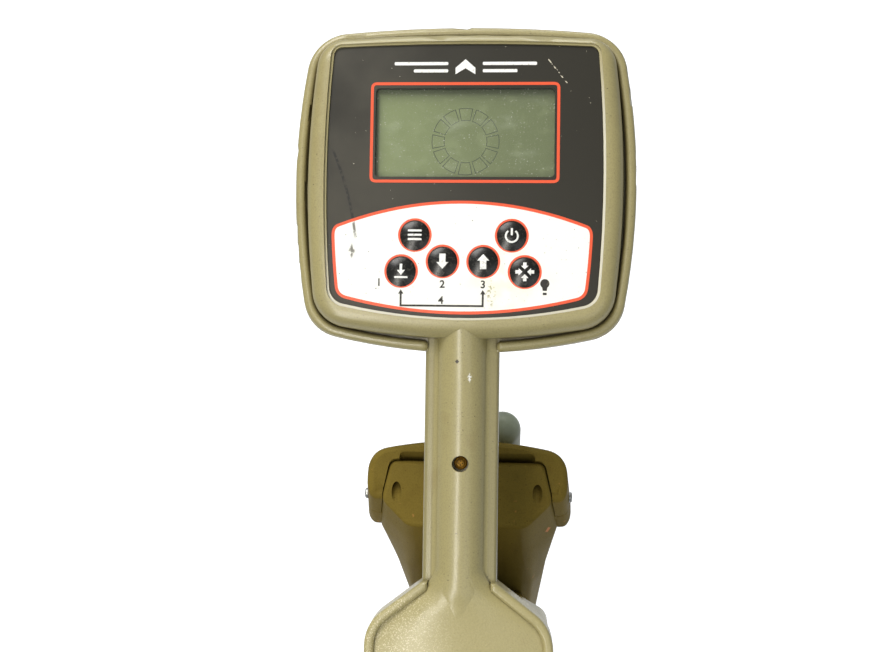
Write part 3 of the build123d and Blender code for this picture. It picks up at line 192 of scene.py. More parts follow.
class LocatorColours(bpy.types.PropertyGroup):
    """Colours of the finishes."""

    paddle_tan: colour("Paddle", "Moulded paddle", (162, 151, 101))
    paddle_stain: colour("Handling stain", "Brown stain on the paddle", (118, 94, 44))
    # Painted highlight: the lip is painted pale where light catches its edge.
    lip_highlight_white: colour("Lip highlight", "Lip round the panel painted pale where light catches it", (250, 248, 236))
    # Painted shade: the screen well's walls are painted near black for the shade inside it.
    well_shade_black: colour("Screen well", "Walls of the screen's well", (16, 16, 13))
    chip_brown: colour("Grip chip", "Dark chip on the grip", (52, 42, 26))
    scuff_white: colour("Grip scuff", "White scuff on the grip", (240, 238, 228))
    pod_glint: colour("Pod pebbles", "Lit tops of the pod's pebbles", (238, 228, 190))
    # Partly painted shade: the mast's tan is darker and browner than the paddle's, for its own browner
    # plastic and for the shade under the paddle.
    mast_tan: colour("Mast", "Moulded mast", (126, 108, 48))
    mast_knock: colour("Mast knocks", "Paler knocks on the mast", (176, 128, 70))
    mast_chip: colour("Mast chip", "Bright chip on the mast's flank", (204, 132, 78))
    mud: colour("Mud", "Dried mud at the foot", (112, 92, 66))
    # Dirt and painted shade: this colour darkens grooves and corners, standing in for their shade as well
    # as for dirt.
    groove_dirt_and_shade: colour("Grime", "Dirt in grooves and corners", (52, 40, 15))
    panel_grey: colour("Panel", "Printed panel", (43, 40, 30))
    panel_rub: colour("Panel rub", "Dark rub on the panel", (20, 18, 14))
    panel_scratch: colour("Panel scratch", "Bright scratches on the panel", (222, 214, 190))
    signal_orange: colour("Outlines", "Printed outlines", (238, 90, 52))
    field_white: colour("Key field", "Field under the keys", (248, 247, 238))
    aged_white: colour("Aged key field", "Yellowed patches of the key field", (246, 240, 196))
    field_spill: colour("Spill", "Dried spill on the key field", (150, 140, 84))
    field_speck: colour("Specks", "Specks and rubs on the key field", (70, 62, 46))
    dark_ink: colour("Dark signs", "Signs on the key field", (38, 34, 28))
    pale_ink: colour("Pale signs", "Sign over the screen", (246, 245, 240))
    key_black: colour("Keys", "Key domes", (20, 19, 15))
    display_green: colour("Display", "Reflective display", (124, 135, 90))
    segment_ink: colour("Segments", "Ring of segments on the display", (58, 66, 46))
    screw_steel: colour("Steel screws", "Plated screws, pins and contacts", (168, 168, 164))
    screw_brass: colour("Brass screw", "Passivated screws", (150, 112, 44))
    stub_olive: colour("Stub antenna", "Sheath of the stub antenna", (150, 157, 134))


class Millimetres:
    """A group of sizes, read in millimetres."""

    def __init__(self, group):
        self.group = group

    def __getattr__(self, name):
        return getattr(self.group, name) / MM


class Wire:
    """A shader socket in a Python expression: each operator adds a Math node."""

    def __init__(self, finish, socket):
        self.finish = finish
        self.socket = socket

    def maths(self, operation, first, second=0.0):
        """A Math node on one or two values or wires."""
        return self.finish.node("Math", {"operation": operation}, {0: first, 1: second})

    def __add__(self, other):
        return self.maths("ADD", self, other)

    __radd__ = __add__

    def __mul__(self, other):
        return self.maths("MULTIPLY", self, other)

    __rmul__ = __mul__

    def __sub__(self, other):
        return self.maths("SUBTRACT", self, other)

    def __rsub__(self, other):
        return self.maths("SUBTRACT", other, self)

    def __abs__(self):
        return self.maths("ABSOLUTE", self)

    def either(self, other):
        """The larger of two masks."""
        return self.maths("MAXIMUM", self, other)


class Finish:
    """A node tree under way: its nodes, and what feeds its shader."""

    def __init__(self, owner, shader="Principled BSDF"):
        owner.use_nodes = True
        self.owner = owner
        self.tree = owner.node_tree
        self.shader = self.tree.nodes[shader]

    def node(self, kind, settings=None, sockets=None, output=0):
        """Adds a node: its settings first, then the values or wires of its sockets."""
        made = self.tree.nodes.new("ShaderNode" + kind)
        for key, value in (settings or {}).items():
            setattr(made, key, value)
        for key, value in (sockets or {}).items():
            self.join(made.inputs[key], value)
        return Wire(self, made.outputs[output])

    def join(self, socket, value):
        """Links a wire to a socket, or sets a plain value on it."""
        if isinstance(value, Wire):
            self.tree.links.new(value.socket, socket)
        else:
            socket.default_value = value

    def shade(self, **sockets):
        """Feeds the shader; a socket's name is written with underscores."""
        for key, value in sockets.items():
            self.join(self.shader.inputs[key.replace("_", " ")], value)
        return self.owner

    def place(self):
        """The point on the piece at rest, in millimetres."""
        point = self.node("TexCoord", output="Object")
        return self.node("VectorMath", {"operation": "SCALE"}, {"Vector": point, "Scale": 1 / MM})

    def dot(self, vector, direction):
        """How far a vector reaches in one direction."""
        sockets = {0: vector, 1: tuple(direction)}
        return self.node("VectorMath", {"operation": "DOT_PRODUCT"}, sockets, "Value")

    def along(self, direction, origin=(0, 0, 0)):
        """How far the point lies from an origin in one direction, in millimetres."""
        return self.dot(self.place(), direction) - Vector(origin).dot(Vector(direction)) / MM

    def on_paddle(self):
        """Side and place along the grip, in millimetres."""
        return [self.along(way, display_centre) for way in (side_dir, grip_dir)]

    def facing(self, direction):
        """1 where the surface faces that way, -1 where it faces away."""
        return self.dot(self.node("TexCoord", output="Normal"), direction)

    def noise(self, size, detail=2.0, stretch=(1, 1, 1)):
        """Cloudy variation with features of about that size in millimetres."""
        sockets = {0: self.place(), 1: stretch}
        point = self.node("VectorMath", {"operation": "MULTIPLY"}, sockets)
        return self.node("TexNoise", None, {"Vector": point, "Scale": 1 / size, "Detail": detail})

    def cells(self, size):
        """Distance to the middle of rounded cells of about that size in millimetres."""
        return self.node("TexVoronoi", {"feature": "F1"}, {"Vector": self.place(), "Scale": 1 / size})

    def crevice(self, reach):
        """1 in the tight corners of the piece, 0 in the open, seen over a reach in millimetres."""
        settings = {"only_local": True, "samples": 6}
        return 1 - self.node("AmbientOcclusion", settings, {"Distance": reach * MM}, "AO")

    def ramp(self, value, low, high):
        """0 at low and 1 at high, eased between; low may be the larger."""
        sockets = {"Value": value, "From Min": low, "From Max": high}
        return self.node("MapRange", {"interpolation_type": "SMOOTHSTEP"}, sockets)

    def within(self, value, middle, half, soft):
        """1 near a middle, fading to 0 past half a width."""
        return self.ramp(abs(value - middle), half + soft, half)

    def patches(self, size, detail, low, high, stretch=(1, 1, 1)):
        """Cloudy patches: 0 where a noise of that size is under low, 1 where it is over high."""
        return self.ramp(self.noise(size, detail, stretch), low, high)

    def spot(self, across, along, middle, reach, core, weight=1.0):
        """1 in the core of a mark, fading to 0 at its reach; a step along counts by its weight."""
        away = abs(across - middle[0]) + abs(along - middle[1]) * weight
        return self.ramp(away, reach, core)

    def blend(self, mask, under, over):
        """One colour over another, by a mask."""
        colours = [c if isinstance(c, Wire) else (*c[:3], 1.0) for c in (under, over)]
        return self.node("Mix", {"data_type": "RGBA"}, {0: mask, 6: colours[0], 7: colours[1]}, 2)

    def bump(self, height, depth, strength=1.0):
        """A bumped normal from a height of 0 to 1; depth in millimetres."""
        return self.node("Bump", None, {"Strength": strength, "Distance": depth * MM, "Height": height})

    def specks(self, size, rarity):
        """Small spots scattered over the surface; rarity runs from 0, many, to about 0.1, hardly any."""
        return self.patches(size, 0.0, 0.77 + rarity, 0.79 + rarity)


def new_finish(name):
    """A material to be filled in."""
    return Finish(bpy.data.materials.new(name))


def panel_wear(finish):
    """The dark rub on the panel's left, over the film and the key field alike."""
    x, s = finish.on_paddle()
    course = -55.8 - s * 0.325 - s * s * 0.004
    ends = finish.ramp(s, -28.0, -24.0) * finish.ramp(s, 15.0, 12.0)
    rub = finish.ramp(abs(x - course), 0.95, 0.285) * ends
    ragged = finish.patches(1.6, 3.0, 0.3, 0.55)
    blot = finish.spot(x, s, (-51.5, -33.0), 2.0, 0.9, 0.45)
    return rub.either(blot) * ragged


def moulded(name, tan, stain, groove_dirt_and_shade):
    """Satin moulded plastic with a fine grain, soft stains, and grooves and corners darkened by dirt and
    painted shade; its masks stay open.
    """
    finish = new_finish(name)
    cloud = finish.patches(38, 4.0, 0.35, 0.75)
    grain = finish.noise(0.7, 2.0)
    tone = finish.blend(cloud * 0.3, tan, shade_of(tan, 0.86))
    tone = finish.blend(finish.ramp(grain, 0.4, 0.68) * 0.38, tone, shade_of(tan, 0.66))
    tone = finish.blend(finish.patches(17, 5.0, 0.6, 0.82) * 0.3, tone, stain)
    tone = finish.blend(finish.specks(0.7, 0.065) * 0.7, tone, shade_of(stain, 0.25))
    # Grooves and corners are darkened by ambient occlusion: partly dirt, partly painted shade.
    dirt_and_shade = finish.ramp(finish.crevice(6.0), 0.36, 0.78)
    tone = finish.blend(dirt_and_shade * 0.8, tone, groove_dirt_and_shade)
    rough = 0.34 + cloud * 0.08 + grain * 0.14
    return finish, tone, rough, grain, 0.7 - dirt_and_shade * 0.7


def paddle_plastic(colours):
    """The paddle's plastic: a painted highlight on the lip round the panel, a screen well painted black for
    its shade, and pebbles on the pod, painted paler and glinting where light falls.
    """
    finish, tone, rough, grain, gloss = moulded(
        "paddle_moulding", colours.paddle_tan, colours.paddle_stain, colours.groove_dirt_and_shade
    )
    x, s = finish.on_paddle()
    level = finish.along(face_dir, display_centre)
    handled = finish.ramp(x, -63.0, -67.0) * finish.ramp(x, -73.0, -69.0)
    handled = handled * finish.within(s, 30.0, 22.0, 16.0) * finish.patches(5, 4.0, 0.3, 0.6)
    tone = finish.blend(handled * 0.12, tone, colours.paddle_stain)
    face_up = finish.ramp(finish.facing(face_dir), 0.9, 0.97)
    lip = finish.within(level, 1.0, 0.12, 0.1) * face_up * finish.ramp(s, -67.0, -66.0)
    # Painted highlight: the lip is painted pale tan at the upper left, turning white towards the lower
    # right where light catches its edge.
    rubbed = finish.ramp(x * 0.7 - s, -30.0, 30.0)
    lip_highlight_tone = finish.blend(rubbed, shade_of(colours.paddle_tan, 1.15), colours.lip_highlight_white)
    tone = finish.blend(lip * 0.6, tone, lip_highlight_tone)
    # Painted shade: the walls of the screen's well are painted near black for the shade inside the well.
    well = finish.within(x, 0.0, 42.4, 0.4) * finish.within(s, 22.4, 21.6, 0.4)
    well = well * finish.ramp(level, -0.5, -0.9) * finish.ramp(level, -6.0, -5.0)
    tone = finish.blend(well, tone, colours.well_shade_black)
    chip = finish.spot(x, s, (-2.0, -83.5), 1.3, 0.7)
    tone = finish.blend(chip, tone, colours.chip_brown)
    scuff = finish.spot(x, s, (3.8, -90.8), 1.5, 0.6, 0.5) * finish.patches(0.9, 2.0, 0.46, 0.5)
    tone = finish.blend(scuff, tone, colours.scuff_white)
    on_pod = finish.ramp(s, -186.0, -194.0)
    pebble = finish.cells(0.95) * on_pod
    height = pebble + grain * (1.0 - on_pod * 0.7) * 0.5
    # Painted light: the pod's top is painted paler, as it faces the light.
    tone = finish.blend(on_pod * 0.4, tone, shade_of(colours.paddle_tan, 1.25))
    glint = finish.patches(0.6, 1.0, 0.56, 0.64) * on_pod * finish.ramp(x, 8.0, -30.0)
    tone = finish.blend(glint * 0.5, tone, colours.pod_glint)
    on_edge = finish.ramp(abs(x), 12.2, 13.4) * finish.within(s, -132.0, 48.0, 6.0)
    tone = finish.blend(on_edge * 0.4, tone, shade_of(colours.paddle_tan, 0.5))
    return finish.shade(
        Base_Color=tone,
        Roughness=rough + on_pod * 0.1 + well * 0.3,
        Specular_IOR_Level=0.6,
        Coat_Weight=gloss * (1.0 - chip),
        Coat_Roughness=0.22,
        Normal=finish.bump(height, 0.15, 0.7),
    )


def mast_plastic(colours):
    """The mast's plastic: browner, with dirt that ran down it."""
    finish, tone, rough, grain = moulded(
        "mast_moulding", colours.mast_tan, colours.paddle_stain, colours.groove_dirt_and_shade
    )[:4]
    runs = finish.patches(7, 3.0, 0.5, 0.72, (1, 1, 0.12))
    tone = finish.blend(runs * 0.16, tone, shade_of(colours.paddle_stain, 0.5))
    knock = finish.patches(4.0, 4.0, 0.7, 0.74)
    tone = finish.blend(knock * 0.6, tone, colours.mast_knock)
    x, y, z = (finish.along(way) for way in ((1, 0, 0), (0, 1, 0), (0, 0, 1)))
    chip = finish.spot(x, z, (44.2, 546.4), 1.9, 1.2, 0.5) * finish.ramp(y, 0.0, -2.0)
    tone = finish.blend(chip, tone, colours.mast_chip)
    low = finish.ramp(z, 90.0, 10.0) * finish.patches(13, 5.0, 0.3, 0.7)
    tone = finish.blend(low * 0.6, tone, colours.mud)
    return finish.shade(
        Base_Color=tone,
        Roughness=rough,
        Specular_IOR_Level=0.02,
        Normal=finish.bump(grain, 0.09, 0.5),
    )


def panel_film(colours):
    """The printed panel: dark satin film, paler in cloudy patches towards the left, partly handling smudges
    and partly painted reflection, with a rub and a few bright scratches.
    """
    finish = new_finish("panel_film")
    x, s = finish.on_paddle()
    # Smudges and painted reflection: the film is painted paler in patches towards the left, where it
    # mirrors the light.
    haze_and_reflection = finish.patches(26, 5.0, 0.2, 0.7) * finish.ramp(x, 20.0, -62.0)
    tone = finish.blend(haze_and_reflection * 0.75, colours.panel_grey, shade_of(colours.panel_grey, 2.2))
    tone = finish.blend(panel_wear(finish) * 0.9, tone, colours.panel_rub)
    course = x * 1.28 + s - 105.4
    scratch = finish.ramp(abs(course), 0.55, 0.2) * finish.within(x, 42.0, 5.0, 1.0)
    scratch = scratch * finish.patches(1.8, 2.0, 0.47, 0.53)
    tone = finish.blend(scratch.either(finish.specks(0.7, 0.12)), tone, colours.panel_scratch)
    return finish.shade(
        Base_Color=tone, Roughness=0.34 + haze_and_reflection * 0.16, Normal=finish.bump(finish.noise(0.4), 0.02, 0.4)
    )


def field_print(colours):
    """The white key field, with yellowed patches, specks and the rub."""
    finish = new_finish("field_print")
    x, s = finish.on_paddle()
    aged = finish.spot(x, s, (20.0, -46.0), 30.0, 6.0) * finish.patches(8, 3.0, 0.3, 0.7)
    tone = finish.blend(aged * 0.45, colours.field_white, colours.aged_white)
    spill = finish.spot(x, s, (13.0, -52.0), 3.2, 1.2, 0.3) * finish.patches(1.2, 3.0, 0.5, 0.6)
    tone = finish.blend(spill * 0.8, tone, colours.field_spill)
    marks = finish.specks(0.7, 0.07).either(panel_wear(finish) * 0.85)
    tone = finish.blend(marks, tone, colours.field_speck)
    return finish.shade(Base_Color=tone, Roughness=0.36 + finish.noise(6, 2.0) * 0.1)


def outline_print(colours):
    """Orange ink, thin in places."""
    finish = new_finish("outline_print")
    worn = finish.patches(2.6, 4.0, 0.55, 0.8)
    tone = finish.blend(worn * 0.35, colours.signal_orange, tint(206, 76, 48))
    return finish.shade(Base_Color=tone, Roughness=0.36 + worn * 0.15)


def sign_print(name, ink, worn_ink):
    """Ink of a sign, rubbed here and there."""
    finish = new_finish(name)
    worn = finish.patches(1.1, 3.0, 0.58, 0.7)
    return finish.shade(Base_Color=finish.blend(worn * 0.6, ink, worn_ink), Roughness=0.4 + worn * 0.15)


def key_gloss(colours):
    """Glossy black domes with dust and hairline rubs."""
    finish = new_finish("key_gloss")
    dust = finish.patches(1.5, 4.0, 0.5, 0.75)
    tone = finish.blend(dust * 0.16, colours.key_black, tint(98, 92, 74))
    return finish.shade(
        Base_Color=tone, Roughness=0.24 + dust * 0.2, Normal=finish.bump(finish.noise(0.5), 0.02, 0.3)
    )


def display_face(colours):
    """The reflective display: a grey-green that darkens to the right, with painted shadow under the well's
    top and left edges.
    """
    finish = new_finish("display_face")
    x, s = finish.on_paddle()
    green = colours.display_green
    tone = finish.blend(finish.ramp(x, -46.0, 34.0) * 0.8, green, shade_of(green, 0.54))
    smudge = finish.patches(7, 4.0, 0.52, 0.75)
    tone = finish.blend(smudge * 0.22, tone, shade_of(green, 1.25))
    # Painted shadow: the display darkens along its top and left edges, under the well's edges.
    rim = finish.ramp(s, 39.8, 42.6).either(finish.ramp(x, -39.4, -41.2))
    tone = finish.blend(rim * 0.8, tone, shade_of(green, 0.16))
    return finish.shade(Base_Color=tone, Roughness=0.3 + smudge * 0.2)


def window_film():
    """The screen's window: nearly clear, with wiped dust."""
    finish = new_finish("window_film")
    wiped = finish.patches(9, 5.0, 0.52, 0.85, (0.5, 1, 1))
    dots = finish.specks(0.6, 0.03)
    finish.owner.surface_render_method = "BLENDED"
    return finish.shade(
        Base_Color=finish.blend(dots, tint(206, 214, 190), tint(240, 240, 222)),
        Roughness=0.08 + wiped * 0.25,
        Alpha=0.04 + wiped * 0.12 + dots * 0.4,
    )


def metal(name, bright, dirt, rough):
    """Plated metal, dulled in patches and with dirt in its recesses."""
    finish = new_finish(name)
    dull = finish.patches(1.4, 4.0, 0.45, 0.7).either(finish.ramp(finish.crevice(1.2), 0.2, 0.6))
    return finish.shade(
        Base_Color=finish.blend(dull * 0.7, bright, dirt),
        Roughness=rough + dull * 0.25,
        Metallic=1.0 - dull * 0.45,
        Normal=finish.bump(finish.noise(0.35), 0.03, 0.4),
    )


def plain_compound(name, base, rough, grain):
    """Rubber, sheath or board: one tone with a grain and a bloom."""
    finish = new_finish(name)
    bloom = finish.patches(9, 4.0, 0.42, 0.75)
    paler = tuple(min(c * 1.7 + 0.01, 1.0) for c in base[:3])
    return finish.shade(
        Base_Color=finish.blend(bloom * 0.35, base, paler),
        Roughness=rough + bloom * 0.12,
        Normal=finish.bump(finish.noise(grain, 2.0), 0.08, 0.5),
    )


def wound_copper():
    """Enamelled wire wound round a bobbin."""
    finish = new_finish("wound_copper")
    bands = {"wave_type": "BANDS", "bands_direction": "X"}
    turns = finish.node("TexWave", bands, {"Vector": finish.place(), "Scale": 0.5})
    tone = finish.blend(turns * 0.6, tint(92, 46, 20), tint(190, 110, 58))
    return finish.shade(
        Base_Color=tone,
        Roughness=0.32 + turns * 0.1,
        Metallic=0.8,
        Normal=finish.bump(turns, 0.2),
    )


def soften(piece, size):
    """Rounds a piece's sharp edges by a size in millimetres."""
    weld = piece.modifiers.new("join_corners", "WELD")
    weld.merge_threshold = 0.002 * MM
    bevel = piece.modifiers.new("round_edges", "BEVEL")
    bevel.limit_method = "ANGLE"
    bevel.angle_limit = SHARP_ANGLE
    bevel.width = size * MM
    bevel.segments = 2
    bevel.use_clamp_overlap = True
    even = piece.modifiers.new("even_shading", "WEIGHTED_NORMAL")
    even.keep_sharp = True


def dress(names, material, edge=0.0):
    """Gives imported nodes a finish, and rounds their moulded edges by a size in millimetres."""
    for name in names:
        node = nodes[name]
        node.data.materials.clear()
        node.data.materials.append(material)
        if edge:
            soften(node, edge)


def add_piece(name, mesh, material, body=BODY):
    """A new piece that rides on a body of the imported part."""
    if not mesh.polygons:
        raise RuntimeError(name + " came out empty")
    mesh.materials.clear()
    mesh.materials.append(material)
    piece = bpy.data.objects.new(name, mesh)
    bpy.context.scene.collection.objects.link(piece)
    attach(piece, body)
    return piece


def round_loop(centre, radius, count=48):
    """A circle as a loop of points."""
    steps = [2 * math.pi * i / count for i in range(count)]
    return [(centre[0] + radius * math.cos(a), centre[1] + radius * math.sin(a)) for a in steps]


def bowed_side(start, end, bow, trim, count):
    """Points from near one corner to near the next, bowed outwards, short of both corners by a trim."""
    a, b = Vector(start), Vector(end)
    run = b - a
    out = Vector((run.y, -run.x)).normalized()
    points = []
    for i in range(count + 1):
        t = trim / run.length + (1 - 2 * trim / run.length) * i / count
        points.append(a + run * t + out * bow * 4 * t * (1 - t))
    return points


def bowed_loop(corners, bows, rounds, count=16):
    """A closed outline, anticlockwise: bowed sides that meet in rounded corners."""
    total = len(corners)
    sides = []
    for i in range(total):
        trim = max(rounds[i], rounds[(i + 1) % total])
        sides.append(bowed_side(corners[i], corners[(i + 1) % total], bows[i], trim, count))
    loop = []
    for i in range(total):
        before, after = sides[i - 1][-1], sides[i][0]
        corner = Vector(corners[i])
        for k in range(1, count // 2):
            t = k / (count // 2)
            loop.append(before * (1 - t) ** 2 + corner * 2 * t * (1 - t) + after * t**2)
        loop.extend(sides[i])
    return [tuple(p) for p in loop]


def box_loop(width, height, corner, centre=(0, 0)):
    """A rounded rectangle as a loop."""
    x, y = width / 2, height / 2
    corners = [(x, -y), (x, y), (-x, y), (-x, -y)]
    placed = [(a + centre[0], b + centre[1]) for a, b in corners]
    return bowed_loop(placed, [0] * 4, [corner * 1.2] * 4, 12)


def grown(loop, distance):
    """A loop moved outwards by a distance."""
    moved = []
    for i, point in enumerate(loop):
        run = Vector(loop[(i + 1) % len(loop)]) - Vector(loop[i - 1])
        out = Vector((run.y, -run.x)).normalized()
        moved.append(tuple(Vector(point) + out * distance))
    return moved


def flat_print(loops, low, high):
    """A thin printed layer on the paddle from loops in millimetres; a loop within another is a hole."""
    curve = bpy.data.curves.new("loops", "CURVE")
    curve.dimensions = "2D"
    curve.fill_mode = "BOTH"
    curve.extrude = (high - low) / 2
    for loop in loops:
        spline = curve.splines.new("POLY")
        spline.points.add(len(loop) - 1)
        for point, (x, s) in zip(spline.points, loop):
            point.co = (x, s, 0, 1)
        spline.use_cyclic_u = True
    return laid_out(curve, (low + high) / 2)


def laid_out(curve, level):
    """The mesh of a flat curve, laid on the paddle at a level."""
    holder = bpy.data.objects.new("loops", curve)
    mesh = bpy.data.meshes.new_from_object(holder)
    bpy.data.objects.remove(holder)
    bpy.data.curves.remove(curve)
    mesh.transform(paddle @ Matrix.Diagonal((MM, MM, MM, 1)) @ Matrix.Translation((0, 0, level)))
    return mesh


def numeral(text, height, centre, low, high):
    """A plain numeral on the paddle."""
    curve = bpy.data.curves.new("numeral", "FONT")
    curve.body = text
    font_size, boldness = height * 1.4, height * 0.03
    curve.size = font_size
    curve.extrude = (high - low) / 2
    curve.offset = boldness
    curve.align_x = "CENTER"
    curve.align_y = "CENTER"
    mesh = laid_out(curve, (low + high) / 2)
    mesh.transform(Matrix.Translation(side_dir * centre[0] * MM + grip_dir * centre[1] * MM))
    return mesh


def block_arrow(centre, angle, total, head, stem, head_length):
    """A block arrow as a loop; angle 0 points up the grip."""
    half = total / 2
    shape = [
        (-stem / 2, -half),
        (stem / 2, -half),
        (stem / 2, half - head_length),
        (head / 2, half - head_length),
        (0, half),
        (-head / 2, half - head_length),
        (-stem / 2, half - head_length),
    ]
    c, s = math.cos(angle), math.sin(angle)
    return [(centre[0] + x * c - y * s, centre[1] + x * s + y * c) for x, y in shape]


def ring_arc(centre, inner, outer, start, end, count=28):
    """A piece of a ring as a loop, between two angles in degrees."""
    steps = [math.radians(start + (end - start) * i / count) for i in range(count + 1)]
    far = [(centre[0] + outer * math.cos(a), centre[1] + outer * math.sin(a)) for a in steps]
    near = [(centre[0] + inner * math.cos(a), centre[1] + inner * math.sin(a)) for a in reversed(steps)]
    return far + near


def node_centre(name):
    """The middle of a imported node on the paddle, in millimetres."""
    low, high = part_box(name)
    middle = to_paddle @ ((low + high) / 2)
    return middle.x / MM, middle.y / MM


key_names = [name for name in nodes if name.startswith("key_") and name != "key_switches"]


def key_signs(x, s):
    """The loops of each key's sign, round the key's middle."""
    bar, corner, spread = 0.95, 0.3, 2.7
    large_arrow = (7.0, 5.6, 2.9, 3.1)
    slim_arrow = (5.2, 3.8, 1.2, 2.3)
    small_arrow = (3.2, 3.4, 1.6, 1.7)
    spokes = [math.radians(a) for a in (0, 90, 180, 270)]
    around = [(x - spread * math.sin(a), s + spread * math.cos(a)) for a in spokes]
    return {
        "key_mode": [box_loop(6.4, bar, corner, (x, s + d)) for d in (-2.0, 0.0, 2.0)],
        "key_power": [
            ring_arc((x, s - 0.3), 2.35, 3.2, 125, 415),
            box_loop(bar, 3.4, corner, (x, s + 1.7)),
        ],
        "key_down": [block_arrow((x, s), math.pi, *large_arrow)],
        "key_up": [block_arrow((x, s), 0.0, *large_arrow)],
        "key_depth": [
            block_arrow((x, s + 0.7), math.pi, *slim_arrow),
            box_loop(6.2, 0.9, corner, (x, s - 2.9)),
        ],
        "key_target": [block_arrow(place, a + math.pi, *small_arrow) for place, a in zip(around, spokes)],
    }


def hug_dome(mesh, key):
    """Lays a flat sign on its key's dome."""
    points = [to_paddle @ v.co for v in nodes[key].data.vertices]
    crown = max(p.z for p in points)
    rim = [p for p in points if p.z > 0]
    centre = Vector(node_centre(key)) * MM
    radius = max((Vector((p.x, p.y)) - centre).length for p in rim)
    rise = crown - min(p.z for p in rim)
    dome = (radius**2 + rise**2) / (2 * rise)
    sign = bmesh.new()
    sign.from_mesh(mesh)
    bmesh.ops.subdivide_edges(sign, edges=sign.edges[:], cuts=4, use_grid_fill=True)
    for vert in sign.verts:
        local = to_paddle @ vert.co
        away = (Vector((local.x, local.y)) - centre).length
        local.z += crown - dome + math.sqrt(dome**2 - away**2)
        vert.co = paddle @ local
    sign.to_mesh(mesh)
    sign.free()
    return mesh


def skinned(rings):
    """A closed mesh through rings of equal counts, from the lowest to the highest."""
    count = len(rings[0])
    faces = [tuple(reversed(range(count)))]
    for k in range(len(rings) - 1):
        for j in range(count):
            n = (j + 1) % count
            faces.append((k * count + j, k * count + n, (k + 1) * count + n, (k + 1) * count + j))
    faces.append(tuple(range((len(rings) - 1) * count, len(rings) * count)))
    mesh = bpy.data.meshes.new("skin")
    mesh.from_pydata([tuple(c * MM for c in point) for ring in rings for point in ring], [], faces)
    return mesh


def skinned_on_paddle(rings):
    """A closed mesh through rings that are given on the paddle."""
    mesh = skinned(rings)
    mesh.transform(paddle)
    return mesh


def carved(mesh, tools, operation="DIFFERENCE"):
    """A mesh after other meshes are cut from it, joined to it or kept as what both share."""
    scene = bpy.context.scene
    holder = bpy.data.objects.new("carving", mesh)
    helpers = [bpy.data.objects.new("tool", tool) for tool in tools]
    for item in (holder, *helpers):
        scene.collection.objects.link(item)
    for helper in helpers:
        step = holder.modifiers.new("carve", "BOOLEAN")
        step.operation = operation
        step.object = helper
        step.solver = "EXACT"
    result = bpy.data.meshes.new_from_object(holder.evaluated_get(bpy.context.evaluated_depsgraph_get()))
    for item in (holder, *helpers):
        bpy.data.objects.remove(item)
    return result


def smoothed(mesh, angle=32.0):
    """A mesh shaded smooth, with its sharp edges kept."""
    mesh.shade_smooth()
    mesh.set_sharp_from_angle(angle=math.radians(angle))
    return mesh


def level_ring(loop, z):
    """A loop of the plan at a height."""
    return [(x, y, z) for x, y in loop]


def block(low, high):
    """A plain block between two corners, used for parting."""
    corners = [(low[0], low[1]), (high[0], low[1]), (high[0], high[1]), (low[0], high[1])]
    return skinned([level_ring(corners, low[2]), level_ring(corners, high[2])])


def bored(x, z, radius, start, end):
    """A round tool along Y between two places."""
    rim = round_loop((0, 0), radius, 28)
    turn = [[(x + a, y, z + b) for a, b in rim] for y in (end, start)]
    return skinned(turn)


def plan(rear, middle, front, rounds):
    """The mast's plan: flat back, slanted flanks and flat front, each a half width and its place."""
    right = [rear, middle, front]
    left = [(-x, y) for x, y in reversed(right)]
    return bowed_loop(right + left, [0] * 6, rounds + rounds[::-1], 8)


def between(stations, z):
    """The plan at a height, between the two stations next to it."""
    for (low_z, low), (high_z, high) in zip(stations, stations[1:]):
        if z <= high_z:
            break
    t = (z - low_z) / (high_z - low_z)
    return [tuple(Vector(a).lerp(Vector(b), t)) for a, b in zip(low, high)]


def plane_height(y, level):
    """The height at which a plane of the paddle passes a place along Y."""
    return display_centre.z / MM + (level - face_dir.y * (y - display_centre.y / MM)) / face_dir.z


def sloped_ring(stations, level, drop, inset):
    """The ring where a plane of the paddle cuts a form, lowered and drawn in."""
    rounds_to_settle = 4
    ring = []
    for j in range(len(stations[0][1])):
        z = stations[-1][0]
        for _ in range(rounds_to_settle):
            x, y = between(stations, z)[j]
            z = plane_height(y, level) - drop
        ring.append((x, y, z))
    flat = grown([point[:2] for point in ring], -inset)
    return [(*place, point[2]) for place, point in zip(flat, ring)]


def rounded_top(stations, level, radius):
    """The rings of a sloped top with a rounded edge, from the wall up."""
    rings = []
    for a in QUARTER_TURN:
        drop, inset = radius * (1 - math.sin(a)), radius * (1 - math.cos(a))
        rings.append(sloped_ring(stations, level, drop, inset))
    return rings


def mast_stations(mast):
    """Plans of the mast at its foot, neck, flare and tongue."""
    foot = plan(
        (mast.foot_edge_half, mast.rear),
        (mast.foot_half, mast.foot_flank_y),
        (mast.foot_edge_half, mast.front),
        [1.5, 1.5, 5.0],
    )
    neck = plan(
        (mast.neck_rear_half, mast.rear),
        (mast.neck_wide_half, mast.flank_y),
        (mast.neck_front_half, mast.front),
        [1.8, 2.5, 5.0],
    )
    flare = plan(
        (mast.flare_rear_half, mast.flare_rear),
        (mast.flare_wide_half, mast.flank_y),
        (mast.flare_front_half, mast.flare_front),
        [3.5, 4.0, 6.0],
    )
    tongue = plan(
        (mast.tongue_rear_half, mast.tongue_rear),
        (mast.tongue_wide_half, mast.flank_y),
        (mast.tongue_front_half, mast.tongue_front),
        [4.0, 3.0, 3.0],
    )
    return [(mast.foot_z, foot), (mast.neck_z, neck), (mast.flare_z, flare), (mast.tongue_z, tongue)]


